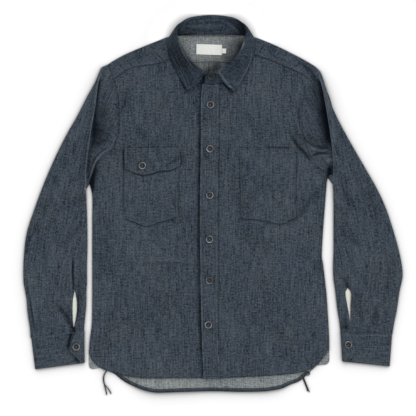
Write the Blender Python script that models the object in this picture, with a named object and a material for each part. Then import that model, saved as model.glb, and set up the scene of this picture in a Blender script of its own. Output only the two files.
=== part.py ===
"""A long-sleeved denim work shirt, buttoned up and laid flat on its back with the collar towards +Y.

Every cut piece is its own object: a wall of cloth that Solidify thickens about a sheet of points. Sizes are in
millimetres. x runs across from the line of the buttons, y runs up from the lowest point of the hem, and z runs
up from the surface that the shirt lies on. Left and right are as seen from above.
"""

import math

import bmesh
import bpy
from mathutils import Vector

MM = 0.001
LEFT, RIGHT = 0, 1
SIDES = ("left", "right")
OUTWARD = (-1, 1)  # the way that x runs towards each side

# Cloth and the layers that lie on each other
CLOTH = 1.2
DOUBLE = 1.8  # collar and cuffs, two layers sewn together
THIN = 1.0  # hem strip, self-edge strips and labels
GAP = 0.3
LAYER = CLOTH + GAP
FLOOR_MID = CLOTH / 2
EDGE_MID = FLOOR_MID + LAYER  # a front at its side seam and armhole
FRONT_MID = 4.0  # a front over the back
EDGE_RISE = 22  # how far inside its edge a front reaches that height
SLEEVE_MID = 5.4
NECK_RISE = 22
BACK_NECK_MID = 3.0  # the back neck seam, over the collar's folded leaf
BACK_NECK_RISE = 18

# The whole shirt's plan: its length and where its middle lies
SHIRT_LENGTH = 771
MIDDLE_X = 7

# Armhole seams from the shoulder to the underarm: left x, left y, right x, right y
ARMHOLE = (
    (-209, 668, 217, 664),
    (-202, 654, 210, 652),
    (-196, 639, 204, 639),
    (-191, 622, 197, 622),
    (-188, 605, 192, 605),
    (-186, 584, 190, 584),
    (-186, 564, 189, 564),
    (-186, 543, 190, 543),
    (-189, 523, 192, 523),
    (-196, 501, 198, 501),
    (-209, 484, 207, 483),
    (-223, 471, 217, 468),
    (-234, 457, 228, 456),
    (-242, 441, 236, 447),
    (-248, 424, 244, 438),
)
FRONT_YOKE_ROW, BACK_YOKE_ROW = 2, 3  # the rows where the yoke's seams meet the armhole

# Side seams from the hem to just under the arm: left x, left y, right x, right y
SIDE_SEAM = (
    (-247, 78, 245, 82),
    (-245, 105, 245, 105),
    (-241, 137, 243, 146),
    (-240, 187, 239, 203),
    (-240, 310, 233, 256),
    (-240, 350, 230, 289),
    (-240, 400, 239, 416),
)
SIDE_STEPS = 12

# The fold over the shoulder, from the armhole to the collar: left x, left y, right x, right y
SHOULDER = (
    (-183, 684, 194, 678),
    (-155, 697, 171, 690),
    (-126, 709, 145, 703),
    (-93, 722, 118, 715),
    (-79, 727, 88, 726),
)
# The yoke's front seam, from the armhole to the collar: left x, left y, right x, right y
YOKE_SEAM = (
    (-183, 650, 194, 648),
    (-169, 659, 173, 658),
    (-153, 664, 149, 668),
    (-130, 668, 124, 679),
    (-101, 673, 105, 685),
    (-85, 679, 91, 690),
)
YOKE_STEPS = 8
BACK_SEAM_Y = 675  # the yoke's back seam at the centre
BACK_SEAM_DROP = 53  # and how much lower it meets the armholes

# Hems: x, y
FRONT_HEM = (
    ((-239, 62), (-223, 48), (-196, 39), (-169, 34), (-125, 31), (-49, 29), (19, 28)),
    ((242, 82), (223, 59), (204, 48), (185, 43), (147, 38), (87, 34), (22, 29), (-13, 27)),
)
BACK_HEM = (
    (-239, 62),
    (-223, 47),
    (-196, 37),
    (-169, 20),
    (-141, 7),
    (-104, 1),
    (-49, 0),
    (60, 2),
    (114, 4),
    (147, 8),
    (185, 23),
    (204, 40),
    (223, 57),
)
HEM_STRIP_ENDS = (-200, 204)
HEM_STRIP = 7
GUSSET_CORNERS = (((-247.3, 75), (-245, 47)), ((245.3, 79), (243, 57)))
GUSSET_INNER = 219  # how far from the button line its point reaches
GUSSET_HEM_STEPS = 24

# Button strip: y, left edge x, right edge x
PLACKET = (
    (27, -13, 22),
    (133, -17, 17),
    (225, -19, 17),
    (312, -20, 17),
    (400, -20, 17),
    (498, -18, 19),
    (611, -17, 19),
)
UNDER_LAP = 19  # the left front's edge below the strip
LAP_END, LAP_FALL = 22, 38  # the right front comes down beside the lap

# Half of the collar, from the centre of the back to the centre of the front and on to the end of the stand.
# out is measured from the collar's own centre line, and the end rows reach past it.
COLLAR_X = 4
COLLAR = (
    # neck seam: out, y, z left, z right; crest: out, y, z; leaf edge: out, y, z; how far the leaf bulges
    ((0, 731, 3.0, 3.0), (0, 770, 2.6), (0, 727, 0.9), 1),
    ((23, 731, 3.0, 3.0), (25, 768, 6), (23, 727, 0.9), 3),
    ((44, 730.5, 3.2, 3.2), (46, 763, 19), (46, 728, 0.9), 13),
    ((58, 730, 3.8, 3.8), (60, 754, 28), (66, 731.5, 0.9), 14),
    ((69.5, 728, 4.9, 4.9), (69.5, 744, 33), (79, 731, 3.6), 6),
    ((77, 721, 5.2, 5.2), (71.5, 732, 35), (87, 724, 7.0), 4),
    ((79.5, 709, 5.2, 5.2), (68, 718, 36), (89.5, 713, 7.4), 4),
    ((77, 697.5, 5.2, 5.2), (63.5, 704, 35.5), (89, 700, 7.4), 4),
    ((72.5, 686.5, 5.2, 5.3), (56.5, 691, 34), (86, 687, 7.4), 4),
    ((63, 669, 5.0, 5.4), (49, 680.5, 31.5), (80, 673, 7.4), 4),
    ((50, 655, 4.7, 5.8), (39.5, 671, 28), (73, 658, 7.4), 4),
    ((34, 642, 4.4, 6.3), (26, 662, 24), (64, 641, 7.4), 4),
    ((17, 632, 4.1, 6.8), (13, 654, 20.5), (48.5, 613, 7.6), 3),
)
STAND_ENDS = (
    ((0, 628, 4.0, 7.0), (0, 655, 20.8)),
    ((-15, 631, 4.0, 7.1), (-11, 655, 21)),
)
NECK_POINT_ROW, YOKE_NECK_ROW = 4, 8  # where the shoulder fold and the yoke's front seam meet the collar
FRONT_NECK_LIMIT = 5.5  # the right front stays below the button strip
NECK_GAP = 1.3  # beside a stand that rises steeply
BACK_NECK_GAP = (0.4, 0.4, 0.6, 1.3)  # at the back's rows, where the stand lies nearly flat
NECK_TURN = 2.1  # where the cloth folds, beside the stand
ROLL = 1.6  # the collar's turn at its crest
ROLL_INSIDE = 4.5

# Sleeves from the armhole's pleat to the cuff: outer x, outer y, inner x, inner y, bow, height
SLEEVE_ROWS = (
    (
        (-234, 632, -254, 407, 9, 6.8),
        (-250, 603, -253.5, 402, 8, 6.2),
        (-270, 564, -253, 397, 4, 5.4),
        (-290, 529, -253, 390, 2, 5.4),
        (-309, 492, -252.5, 380, 0, 5.4),
        (-326, 455, -252, 366, 0, 5.4),
        (-342, 416, -251.5, 347, 0, 5.4),
        (-360, 367, -251, 322, 0, 5.4),
        (-374, 322, -251, 293, 0, 5.4),
        (-380, 269, -252, 257, 0, 5.4),
        (-380, 222, -252, 222, 0, 5.4),
    ),
    (
        (232, 640, 254, 418, 12, 10.8),
        (245, 597, 254.5, 412, 11, 8.6),
        (259, 564, 254.5, 406, 7, 6.6),
        (278, 527, 254.5, 398, 3, 5.4),
        (299, 490, 255, 386, 0, 5.4),
        (321, 452, 255, 368, 0, 5.4),
        (342, 415, 255, 344, 0, 5.4),
        (360, 376, 255, 318, 0, 5.4),
        (377, 325, 255, 285, 0, 5.4),
        (390, 276, 254, 254, 0, 5.4),
        (395, 238, 255, 230, 0, 5.4),
    ),
)
# Below them, the rows beside the slit: outer x, outer y, inner x, inner y, slit x, half its width
SLIT_ROWS = (
    (
        (-377, 205, -253, 205, -276, 0.8),
        (-374, 187, -253, 187, -276, 3.8),
        (-372.5, 166, -254, 168, -276, 4.5),
        (-370, 147, -256, 148, -277, 3.0),
        (-367, 128, -257.5, 132, -278, 0.8),
        (-366, 113.5, -258, 125.5, -278, 0.8),
    ),
    (
        (391, 217, 257, 217, 283, 0.8),
        (388, 201, 259, 201, 284, 4.5),
        (384.5, 176, 261.5, 178, 285.5, 3.4),
        (381, 154, 264.5, 156, 287, 1.6),
        (377, 136, 267.5, 138, 288, 0.8),
        (374.5, 121.5, 269, 122.5, 288, 0.8),
    ),
)
SLIT_COLUMNS = (10, 11)
SLIT_PLACE, SLIT_PLACE_HALF = 0.80, 0.013  # across the sleeve above the slit
LOW_FOLD = 0.75  # half the height of a fold whose layers lie close
STRAIGHT_ROW = 5  # the sleeve row from which the columns run straight to the cuff
SELF_EDGE_HALF = 8

# The pleat where each sleeve lies over its own cap: left x, left y, right x, right y
PLEAT_LINE = (
    (-219, 663, 224, 656),
    (-228, 633, 235, 601),
    (-235, 579, 243, 556),
    (-243, 533, 249, 515),
    (-253, 458, 253, 474),
    (-254, 411, 254, 422),
)
PLEAT_DEPTH = 12
PLEAT_TURN = 0.9
PLEAT_CREST_TURN = 1.2
PLEAT_CREST = (7.4, 12.0)
PLEAT_LOW = 7.0
PLEAT_ENDS = (0.5, 0.25)  # the shares of its length over which it deepens, from the shoulder and the underarm
PLEAT_LAID = (1, 4)  # the depths between which it turns over and lies down

# Cuffs: corners, then for each row down the cuff its place and how far the tab reaches from the inner fold
CUFF_CORNERS = (
    ((-364.5, 112.8), (-257.5, 124.8), (-356, 45), (-257, 58)),
    ((373.5, 121), (269.5, 121.9), (368, 51), (273, 61)),
)
CUFF_TAB = (
    ((0, 16.5), (0.25, 24), (0.5, 31), (0.6, 30), (0.8, 15.5), (1, 7)),
    ((0, 16), (0.25, 22), (0.5, 27), (0.6, 26), (0.8, 14), (1, 7)),
)
CUFF_MID, CUFF_TOP, TAB_TOP = DOUBLE / 2, 4.2, 6.6

# Pockets and flap: the top edge's ends, then the lower edge from left to right
POCKET = (
    (((-175, 499), (-64, 499)), ((-175, 354), (-152, 346), (-129, 338), (-97, 348), (-64, 357))),
    (((61, 499), (177, 499)), ((65, 353), (100, 351), (123, 347), (150, 343), (177, 357))),
)
FLAP = (
    ((-175, 499), (-60, 499)),
    ((-174, 455), (-157, 449), (-139, 443), (-118, 446), (-104, 451), (-81, 453), (-59, 462)),
)

# Label and size tab: left x, bottom y, right x, top y
LABEL = (-28, 690, 25.5, 711)
SIZE_TAB = (26, 692.5, 34, 703)

# The largest folds, as soft ridges and troughs: start x, y, end x, y, height, half width
FRONT_FOLDS = (
    (-186, 494, -180, 340, -1.1, 9),
    (-214, 400, -206, 250, 0.8, 12),
    (184, 526, 216, 462, -1.3, 8),
    (202, 500, 226, 430, 0.9, 8),
    (196, 330, 224, 240, 0.9, 12),
)
SLEEVE_FOLDS = (
    (-330, 190, -284, 118, -1.6, 10),
    (-352, 210, -340, 120, 1.0, 9),
    (-270, 330, -300, 250, -1.0, 10),
    (-268, 400, -320, 360, 0.9, 12),
    (270, 380, 330, 350, 1.0, 12),
    (300, 230, 318, 140, -1.2, 9),
    (352, 240, 360, 140, 0.9, 9),
)

# Buttons: x, y, and what they lie on
BUTTON_RADIUS = 8.25
BUTTON_PROFILE = ((0, 1.0), (4.6, 1.0), (6.6, 2.8), (8.25, 1.6), (6.6, 0), (0, 0))
BUTTON_SIDES = 16
PLACKET_BUTTONS = ((2, 586), (0, 494), (0, 402), (-1, 313), (0, 225), (-3, 134))
COLLAR_BUTTON = (3, 645)
FLAP_BUTTON = (-138, 463)
CUFF_BUTTONS = ((-271, 91), (284, 97))

DENIM = (0.047, 0.060, 0.078)
DENIM_INSIDE = (0.17, 0.20, 0.21)
COLLAR_DENIM = (0.035, 0.047, 0.065)
SELF_EDGE = (0.72, 0.72, 0.66)
LABEL_CLOTH = (0.74, 0.74, 0.69)
BUTTON_SHELL = (0.12, 0.11, 0.10)


def smooth(t):
    t = min(1.0, max(0.0, t))
    return t * t * (3 - 2 * t)


def lerp(a, b, t):
    return a + (b - a) * t


def point(x, y, z=0.0):
    return Vector((x, y, z))


def side_rows(rows, side):
    """One side's points of a table whose rows hold left x, left y, right x, right y."""
    return [point(*row[2 * side : 2 * side + 2]) for row in rows]


def lengths(path):
    """How far along the path each of its points lies, as a share of the whole."""
    runs = [0.0]
    for a, b in zip(path, path[1:]):
        runs.append(runs[-1] + (b - a).length)
    return [run / runs[-1] for run in runs]


def at(path, share):
    """The point that lies this share of the way along a path."""
    places = lengths(path)
    for i in range(len(path) - 1):
        if share <= places[i + 1]:
            return lerp(path[i], path[i + 1], (share - places[i]) / (places[i + 1] - places[i]))
    return path[-1].copy()


def curve(path, steps):
    """A smooth curve through the points, read at even places."""
    ends = [2 * path[0] - path[1]] + list(path) + [2 * path[-1] - path[-2]]
    fine = []
    for a, b, c, d in zip(ends, ends[1:], ends[2:], ends[3:]):
        for i in range(8):
            t = i / 8
            fine.append(
                0.5 * (2 * b + (c - a) * t + (2 * a - 5 * b + 4 * c - d) * t**2 + (3 * b - a - 3 * c + d) * t**3)
            )
    fine.append(path[-1].copy())
    return [at(fine, i / steps) for i in range(steps + 1)]


def nearest(path, x, y):
    """The distance in plan from a path, and the point of the path that is nearest."""
    best = None
    for a, b in zip(path, path[1:]):
        run = Vector((b.x - a.x, b.y - a.y))
        t = (Vector((x - a.x, y - a.y)).dot(run)) / run.length_squared
        found = lerp(a, b, min(1.0, max(0.0, t)))
        far = math.hypot(x - found.x, y - found.y)
        if best is None or far < best[0]:
            best = (far, found)
    return best


def at_shares(path, shares):
    """A smooth curve through the points, read at these shares of its length."""
    fine = curve(path, 10 * len(path))
    return [at(fine, share) for share in shares]


def moved(path, distance):
    """The path moved sideways in plan, to the left of its run."""
    found = []
    for i, here in enumerate(path):
        before = path[max(0, i - 1)]
        after = path[min(len(path) - 1, i + 1)]
        run = Vector((after.x - before.x, after.y - before.y)).normalized()
        found.append(here + distance * point(-run.y, run.x))
    return found


def folds(rows, x, y):
    """The height that the ridges and troughs of a table add at a place."""
    total = 0.0
    for x0, y0, x1, y1, height, half_width in rows:
        run = Vector((x1 - x0, y1 - y0))
        t = Vector((x - x0, y - y0)).dot(run) / run.length_squared
        if 0 < t < 1:
            off = abs(run.x * (y - y0) - run.y * (x - x0)) / run.length
            total += height * math.exp(-((off / half_width) ** 2)) * math.sin(math.pi * t)
    return total


def coons(bottom, top, left, right):
    """Rows of plan points that fill the four edges of a panel."""
    rows = []
    columns, steps = len(bottom) - 1, len(left) - 1
    for j in range(steps + 1):
        v = j / steps
        row = []
        for i in range(columns + 1):
            u = i / columns
            across = lerp(left[j], right[j], u)
            along = lerp(bottom[i], top[i], v)
            corners = lerp(lerp(bottom[0], bottom[-1], u), lerp(top[0], top[-1], u), v)
            row.append(across + along - corners)
        rows.append(row)
    return rows


def raised(rows, height):
    """Plan rows, each point lifted to the height that the function gives for its place."""
    return [[point(p.x, p.y, height(p.x, p.y)) for p in row] for row in rows]


root = None


def piece(name, mesh, colour, roughness):
    """An object for one sub-part, with its own material, on the shirt's empty."""
    obj = bpy.data.objects.new(name, mesh)
    bpy.context.scene.collection.objects.link(obj)
    obj.parent = root
    material = bpy.data.materials.new(name)
    material.use_nodes = True
    shader = material.node_tree.nodes["Principled BSDF"]
    shader.inputs["Base Color"].default_value = (*colour, 1)
    shader.inputs["Roughness"].default_value = roughness
    shader.inputs["Metallic"].default_value = 0
    mesh.materials.clear()
    mesh.materials.append(material)
    return obj


def cloth(name, rows, colour, thickness=CLOTH, ring=False, left_out=()):
    """A wall of cloth through rows of points. A ring closes each row. Cells with a missing corner are left out."""
    bm = bmesh.new()
    grid = [[None if p is None else bm.verts.new(p * MM) for p in row] for row in rows]
    columns = len(rows[0])
    for j in range(len(rows) - 1):
        for i in range(columns if ring else columns - 1):
            k = (i + 1) % columns
            corners = [grid[j][i], grid[j][k], grid[j + 1][k], grid[j + 1][i]]
            if None not in corners and (j, i) not in left_out:
                bm.faces.new(corners)
    return walled(name, bm, colour, thickness)


def walled(name, bm, colour, thickness):
    loose = [v for v in bm.verts if not v.link_faces]
    bmesh.ops.delete(bm, geom=loose, context="VERTS")
    mesh = bpy.data.meshes.new(name)
    bm.to_mesh(mesh)
    bm.free()
    mesh.shade_smooth()
    obj = piece(name, mesh, colour, 0.9)
    solid = obj.modifiers.new("thickness", "SOLIDIFY")
    solid.thickness = thickness * MM
    solid.offset = 0
    return obj


def collar_point(side, entry):
    return point(COLLAR_X + OUTWARD[side] * entry[0], entry[1], entry[2])


def neck_rows(side, limit=None):
    """The neck seam of one side, from the centre of the back to the end of the stand."""
    found = []
    for row in COLLAR + STAND_ENDS:
        out, y, *heights = row[0]
        height = heights[side] if limit is None else min(heights[side], limit)
        found.append(collar_point(side, (out, y, height)))
    return found


ARMHOLES = [side_rows(ARMHOLE, side) for side in (LEFT, RIGHT)]
NECKS = [neck_rows(side, FRONT_NECK_LIMIT) for side in (LEFT, RIGHT)]


def neck_edge(side):
    """The cloth's edge beside the stand: inside it at the back and outside it from the shoulder fold to the front."""
    turn = (-NECK_GAP, NECK_GAP)[side]
    edge = moved(NECKS[side], turn)
    for row, gap in enumerate(BACK_NECK_GAP):
        edge[row] = NECKS[side][row] - point(0, gap)
    edge[NECK_POINT_ROW] = NECKS[side][NECK_POINT_ROW] + point(OUTWARD[side] * NECK_TURN, 0)
    return edge


NECK_EDGES = [neck_edge(side) for side in (LEFT, RIGHT)]


def side_edge(side):
    """A front's or the back's outer edge from the hem to the underarm."""
    seam = side_rows(SIDE_SEAM, side) + [lerp(ARMHOLES[side][-1], ARMHOLES[side][-2], 0.26)]
    return curve(seam, SIDE_STEPS)


def shoulder_fold(side):
    path = [ARMHOLES[side][0]] + side_rows(SHOULDER, side)
    return curve(path + [point(*NECK_EDGES[side][NECK_POINT_ROW].xy)], YOKE_STEPS)


def yoke_front_seam(side):
    path = [ARMHOLES[side][FRONT_YOKE_ROW]] + side_rows(YOKE_SEAM, side)
    return curve(path + [point(*NECK_EDGES[side][YOKE_NECK_ROW].xy)], YOKE_STEPS)


SIDE_EDGES = [side_edge(side) for side in (LEFT, RIGHT)]
SHOULDERS = [shoulder_fold(side) for side in (LEFT, RIGHT)]
OUTLINES = [SIDE_EDGES[side] + ARMHOLES[side][-2::-1] + SHOULDERS[side][1:] for side in (LEFT, RIGHT)]


def front_mid(side, x, y):
    """The mid-height of a front, or of the yoke's front, at a place."""
    inside = smooth(nearest(OUTLINES[side], x, y)[0] / EDGE_RISE)
    full = FRONT_MID
    if side == RIGHT:
        full += LAYER * (1 - smooth((x - LAP_END) / LAP_FALL))
    height = lerp(EDGE_MID, full, inside) + inside * folds(FRONT_FOLDS, x, y)
    far, seam = nearest(NECKS[side][NECK_POINT_ROW:], x, y)
    return lerp(seam.z, height, smooth(far / NECK_RISE))


def back_mid(x, y):
    """The mid-height of the yoke's back, which rises to the collar."""
    far = min(nearest(NECKS[side][: NECK_POINT_ROW + 1], x, y)[0] for side in (LEFT, RIGHT))
    return lerp(BACK_NECK_MID, FLOOR_MID, smooth(far / BACK_NECK_RISE))


def placket_edges(y):
    rows = PLACKET
    for (y0, left0, right0), (y1, left1, right1) in zip(rows, rows[1:]):
        if y <= y1:
            t = (y - y0) / (y1 - y0)
            return lerp(left0, left1, t), lerp(right0, right1, t)
    return rows[-1][1:]


def front_hem(side, corner, columns):
    """A front's hem, with its places closest together at the rounded corner."""
    shares = [1 - math.cos(math.pi / 2 * i / columns) for i in range(columns + 1)]
    return at_shares([corner] + [point(*p) for p in FRONT_HEM[side]], shares)


def front_panel(side):
    """A front, from the hem to the yoke and the neck."""
    neck = [point(*p.xy) for p in NECK_EDGES[side][YOKE_NECK_ROW + 1 :]]
    top = moved(yoke_front_seam(side), (-GAP, GAP)[side]) + neck
    outer = SIDE_EDGES[side] + ARMHOLES[side][-2 : FRONT_YOKE_ROW - 1 : -1]
    outer[-1] = top[0]
    columns = len(top) - 1
    bottom = front_hem(side, outer[0], columns)
    underarm_y = ARMHOLES[side][-1].y
    inner = []
    for p in outer:
        y = p.y
        if y > underarm_y:
            y = lerp(underarm_y, top[-1].y, (y - underarm_y) / (outer[-1].y - underarm_y))
        else:
            y = lerp(bottom[-1].y, underarm_y, (y - outer[0].y) / (underarm_y - outer[0].y))
        x = UNDER_LAP if side == LEFT else placket_edges(y)[0] + GAP
        inner.append(point(x, y))
    inner[0], inner[-1] = bottom[-1], top[-1]
    rows = raised(coons(bottom, top, outer, inner), lambda x, y: front_mid(side, x, y))
    cloth("front_" + SIDES[side], rows, DENIM)


def back_seam(x):
    share = (x - COLLAR_X) / (ARMHOLES[RIGHT][BACK_YOKE_ROW].x - COLLAR_X)
    return point(x, BACK_SEAM_Y - BACK_SEAM_DROP * share**2, FLOOR_MID)


def back_seam_points():
    """The yoke's back seam at each column of the yoke, from the left armhole to the right."""
    found = []
    for side in (LEFT, RIGHT):
        start = ARMHOLES[side][BACK_YOKE_ROW].x
        end = NECK_EDGES[side][NECK_POINT_ROW].x
        arm = [back_seam(lerp(start, end, i / YOKE_STEPS)) for i in range(YOKE_STEPS)]
        arm[0] = point(*ARMHOLES[side][BACK_YOKE_ROW].xy, FLOOR_MID)
        middle = [back_seam(p.x) for p in NECK_EDGES[side][NECK_POINT_ROW::-1]]
        found.append(arm + middle)
    return found[LEFT] + found[RIGHT][-2::-1]


def back_hem(columns):
    """The back's hem, with its places closest together at the rounded corners."""
    corners = [point(*SIDE_EDGES[side][0].xy) for side in (LEFT, RIGHT)]
    shares = [0.5 - 0.5 * math.cos(math.pi * i / columns) for i in range(columns + 1)]
    return at_shares([corners[LEFT]] + [point(*p) for p in BACK_HEM] + [corners[RIGHT]], shares)


def back_panel():
    """The back, flat on the surface from the hem to the yoke."""
    top = moved(back_seam_points(), -GAP)
    edges = []
    for side in (LEFT, RIGHT):
        edge = SIDE_EDGES[side] + ARMHOLES[side][-2 : BACK_YOKE_ROW - 1 : -1]
        edges.append([point(*p.xy) for p in edge])
    edges[LEFT][-1], edges[RIGHT][-1] = top[0], top[-1]
    bottom = back_hem(len(top) - 1)
    rows = raised(coons(bottom, top, edges[LEFT], edges[RIGHT]), lambda x, y: FLOOR_MID)
    cloth("back", rows, DENIM_INSIDE)


def yoke_arm(side):
    """The columns of the yoke over one shoulder, from the armhole to the neck. Each runs from the back seam,
    over the fold, to the front seam."""
    hole, neck = ARMHOLES[side], NECK_EDGES[side]
    seam = yoke_front_seam(side)
    back = back_seam_points()
    back = back if side == LEFT else back[::-1]
    columns = []
    for i in range(YOKE_STEPS + 1):
        fold = SHOULDERS[side][i]
        behind = [lerp(back[i], fold, t) for t in (0, 1 / 3, 2 / 3)]
        ahead = [lerp(fold, seam[i], t) for t in (0.25, 0.5, 0.75, 1)]
        if i == 0:
            behind = [hole[3], hole[2], hole[1]]
            ahead = [lerp(hole[0], hole[1], 0.5), hole[1], lerp(hole[1], hole[2], 0.5), hole[2]]
        if i == YOKE_STEPS:
            ahead = neck[NECK_POINT_ROW + 1 : YOKE_NECK_ROW + 1]
        near = 0.9 + 0.7 * smooth(i / 2)
        before = fold + (behind[-1] - fold).to_2d().to_3d().normalized() * near
        after = fold + (ahead[0] - fold).to_2d().to_3d().normalized() * near
        column = [point(p.x, p.y, back_mid(p.x, p.y)) for p in behind + [before]]
        over = [point(p.x, p.y, front_mid(side, p.x, p.y)) for p in [after] + ahead]
        column.append(point(fold.x, fold.y, (column[-1].z + over[0].z) / 2))
        columns.append(column + over)
    return columns


def yoke():
    """The yoke, one layer that folds over both shoulders."""
    left, right = yoke_arm(LEFT), yoke_arm(RIGHT)
    behind_rows = 5
    centre = []
    for side, order in ((LEFT, range(NECK_POINT_ROW - 1, -1, -1)), (RIGHT, range(1, NECK_POINT_ROW))):
        for row in order:
            edge = NECK_EDGES[side][row]
            seam = back_seam(edge.x)
            places = [lerp(seam, edge, t) for t in (0, 1 / 3, 2 / 3, 0.94, 1)]
            column = [point(p.x, p.y, back_mid(p.x, p.y)) for p in places]
            centre.append(column + [None] * (len(left[0]) - behind_rows))
    columns = left + centre + right[::-1]
    cloth("yoke", list(zip(*columns)), DENIM)


def button_strip():
    rows = []
    neck = NECK_EDGES[RIGHT]
    top = [neck[-1], neck[-2], neck[-3]]
    for y, left, right in PLACKET:
        rows.append([point(x, y) for x in (left, (left + right) / 2, right)])
    rows.append([point(left, p.y - GAP) for left, p in zip((-11, COLLAR_X, 20), top)])
    cloth("button_strip", raised(rows, lambda x, y: front_mid(RIGHT, x, y) + LAYER), DENIM)


def patch(name, side, edges, layers, colour=DENIM):
    """A patch sewn on a front: its top edge's ends and its lower edge."""
    columns, steps = 6, 6
    (left, right), lower = edges
    bottom = curve([point(*p) for p in lower], columns)
    top = [lerp(point(*left), point(*right), i / columns) for i in range(columns + 1)]
    sides = [[lerp(bottom[i], top[i], j / steps) for j in range(steps + 1)] for i in (0, -1)]
    rows = coons(bottom, top, *sides)
    cloth(name, raised(rows, lambda x, y: front_mid(side, x, y) + layers * LAYER), colour)


def gusset(side):
    """The small piece that fills the corner between the side seam's foot and the hems."""
    hem = back_hem(GUSSET_HEM_STEPS)
    hem = moved(hem, -GAP)
    if side == RIGHT:
        hem = hem[::-1]
    inner = [p for p in hem[1:] if p.x * OUTWARD[side] > GUSSET_INNER]
    outer = curve([point(*p) for p in GUSSET_CORNERS[side]] + [inner[-1] + point(0, -0.8)], len(inner) - 1)
    middle = [lerp(a, b, 0.5) for a, b in zip(outer, inner)]
    cloth("gusset_" + SIDES[side], raised([outer, middle, inner], lambda x, y: FLOOR_MID), DENIM_INSIDE)


def hem_strip():
    """The back hem's turned edge, on the inside of the back."""
    hem = curve([point(*p) for p in BACK_HEM], 60)
    start, end = HEM_STRIP_ENDS
    lower = curve([p for p in hem if start < p.x < end], 28)
    lower = moved(lower, GAP)
    upper = moved(lower, HEM_STRIP)
    height = FLOOR_MID + CLOTH / 2 + GAP + THIN / 2
    cloth("back_hem", raised([lower, upper], lambda x, y: height), DENIM, THIN)


def collar_sections():
    """For each station round the neck: side, neck seam, crest, leaf edge or None, and the way down from the
    crest and out to the leaf."""
    stations = []
    for side in (LEFT, RIGHT):
        half = []
        for i, row in enumerate(COLLAR + STAND_ENDS):
            neck = neck_rows(side)[i]
            lower = neck_rows(RIGHT)[i].z - neck.z
            out, y, z = row[1]
            crest = collar_point(side, (out, y, z - lower))
            edge, bulge = None, 0
            if len(row) > 2:
                edge, bulge = collar_point(side, row[2]), row[3]
            half.append((side, neck, crest, edge, bulge))
        stations.append(half)
    run = stations[LEFT][::-1] + stations[RIGHT][1:]
    found = []
    for i, (side, neck, crest, edge, bulge) in enumerate(run):
        before, after = run[max(0, i - 1)][2], run[min(len(run) - 1, i + 1)][2]
        along = (after - before).normalized()
        down = (neck - crest).normalized()
        if edge is not None:
            down = down + (edge - crest).normalized()
        down = (down - along * down.dot(along)).normalized()
        found.append((neck, crest, edge, bulge, down, along.cross(down)))
    return found


def collar():
    """The stand round the neck, and the leaf that turns over it."""
    stand, leaf = [], []
    for neck, crest, edge, bulge, down, out in collar_sections():
        top = crest + down * (ROLL + ROLL_INSIDE + GAP) - out * ROLL
        belly = lerp(neck, top, 0.5) - out * 0.6
        stand.append([neck, lerp(neck, belly, 0.55), belly, lerp(belly, top, 0.6), top])
        if edge is None:
            continue
        column = [crest + down * (ROLL + ROLL_INSIDE) - out * ROLL]
        for degrees in (0, 45, 90, 135, 180):
            a = math.radians(degrees)
            column.append(crest + down * ROLL * (1 - math.sin(a)) - out * ROLL * math.cos(a))
        start = column[-1]
        fall = (edge - start).length
        bend = start + down * 0.45 * fall + out * bulge
        for t in (0.2, 0.4, 0.6, 0.8, 1.0):
            p = lerp(lerp(start, bend, t), lerp(bend, edge, t), t)
            column.append(point(p.x, p.y, max(p.z, DOUBLE / 2)))
        leaf.append(column)
    cloth("collar_stand", stand, COLLAR_DENIM, DOUBLE)
    cloth("collar_leaf", leaf, DENIM, DOUBLE)
    return stand[-2]


def pleat_rings(side, seam, places):
    """The rings from the armhole seam to the pleat's crest: plan points and heights over the top."""
    line = curve(side_rows(PLEAT_LINE, side), 16)
    out = OUTWARD[side]
    rings = [(seam, [EDGE_MID] * len(seam))]
    shallow, laid_down = PLEAT_LAID
    for k in range(1, 8):
        plan, heights = [], []
        for j, place in enumerate(places):
            crest_line = at(line, place)
            swell = math.sin(math.pi * place)
            depth = PLEAT_DEPTH * smooth(place / PLEAT_ENDS[0]) * smooth((1 - place) / PLEAT_ENDS[1])
            crest = lerp(PLEAT_LOW, PLEAT_CREST[side], swell)
            across = (
                lerp(seam[j].x, crest_line.x, 0.5) * out - crest_line.x * out,
                depth - PLEAT_TURN,
                depth,
                depth - PLEAT_TURN,
                PLEAT_CREST_TURN,
                0,
                PLEAT_CREST_TURN,
            )[k - 1]
            height = (
                EDGE_MID + 0.5 * swell,
                EDGE_MID,
                EDGE_MID + PLEAT_TURN,
                EDGE_MID + 2 * PLEAT_TURN,
                crest - 2 * PLEAT_CREST_TURN,
                crest - PLEAT_CREST_TURN,
                crest,
            )[k - 1]
            laid = crest_line + point(out * across, 0)
            if k == 1:
                laid.y = lerp(seam[j].y, crest_line.y, 0.5)
            fade = smooth((depth - shallow) / (laid_down - shallow))
            plain = lerp(seam[j], crest_line + point(out * PLEAT_CREST_TURN, 0), k / 7)
            plan.append(lerp(plain, laid, fade))
            heights.append(lerp(lerp(EDGE_MID, SLEEVE_MID, smooth(k / 8)), height, fade))
        rings.append((plan, heights))
    return rings


def sleeve_places(armhole_places, straight, slit=None):
    """Where the columns lie across a row, from the outer fold to the inner one."""
    first, second = SLIT_COLUMNS
    low, high = slit or (SLIT_PLACE - SLIT_PLACE_HALF, SLIT_PLACE + SLIT_PLACE_HALF)
    last = len(armhole_places) - 1
    found = []
    for j, place in enumerate(armhole_places):
        if j <= first:
            even = low * j / first
        else:
            even = lerp(high, 1.0, (j - second) / (last - second))
        found.append(lerp(place, even, straight))
    return found


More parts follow.
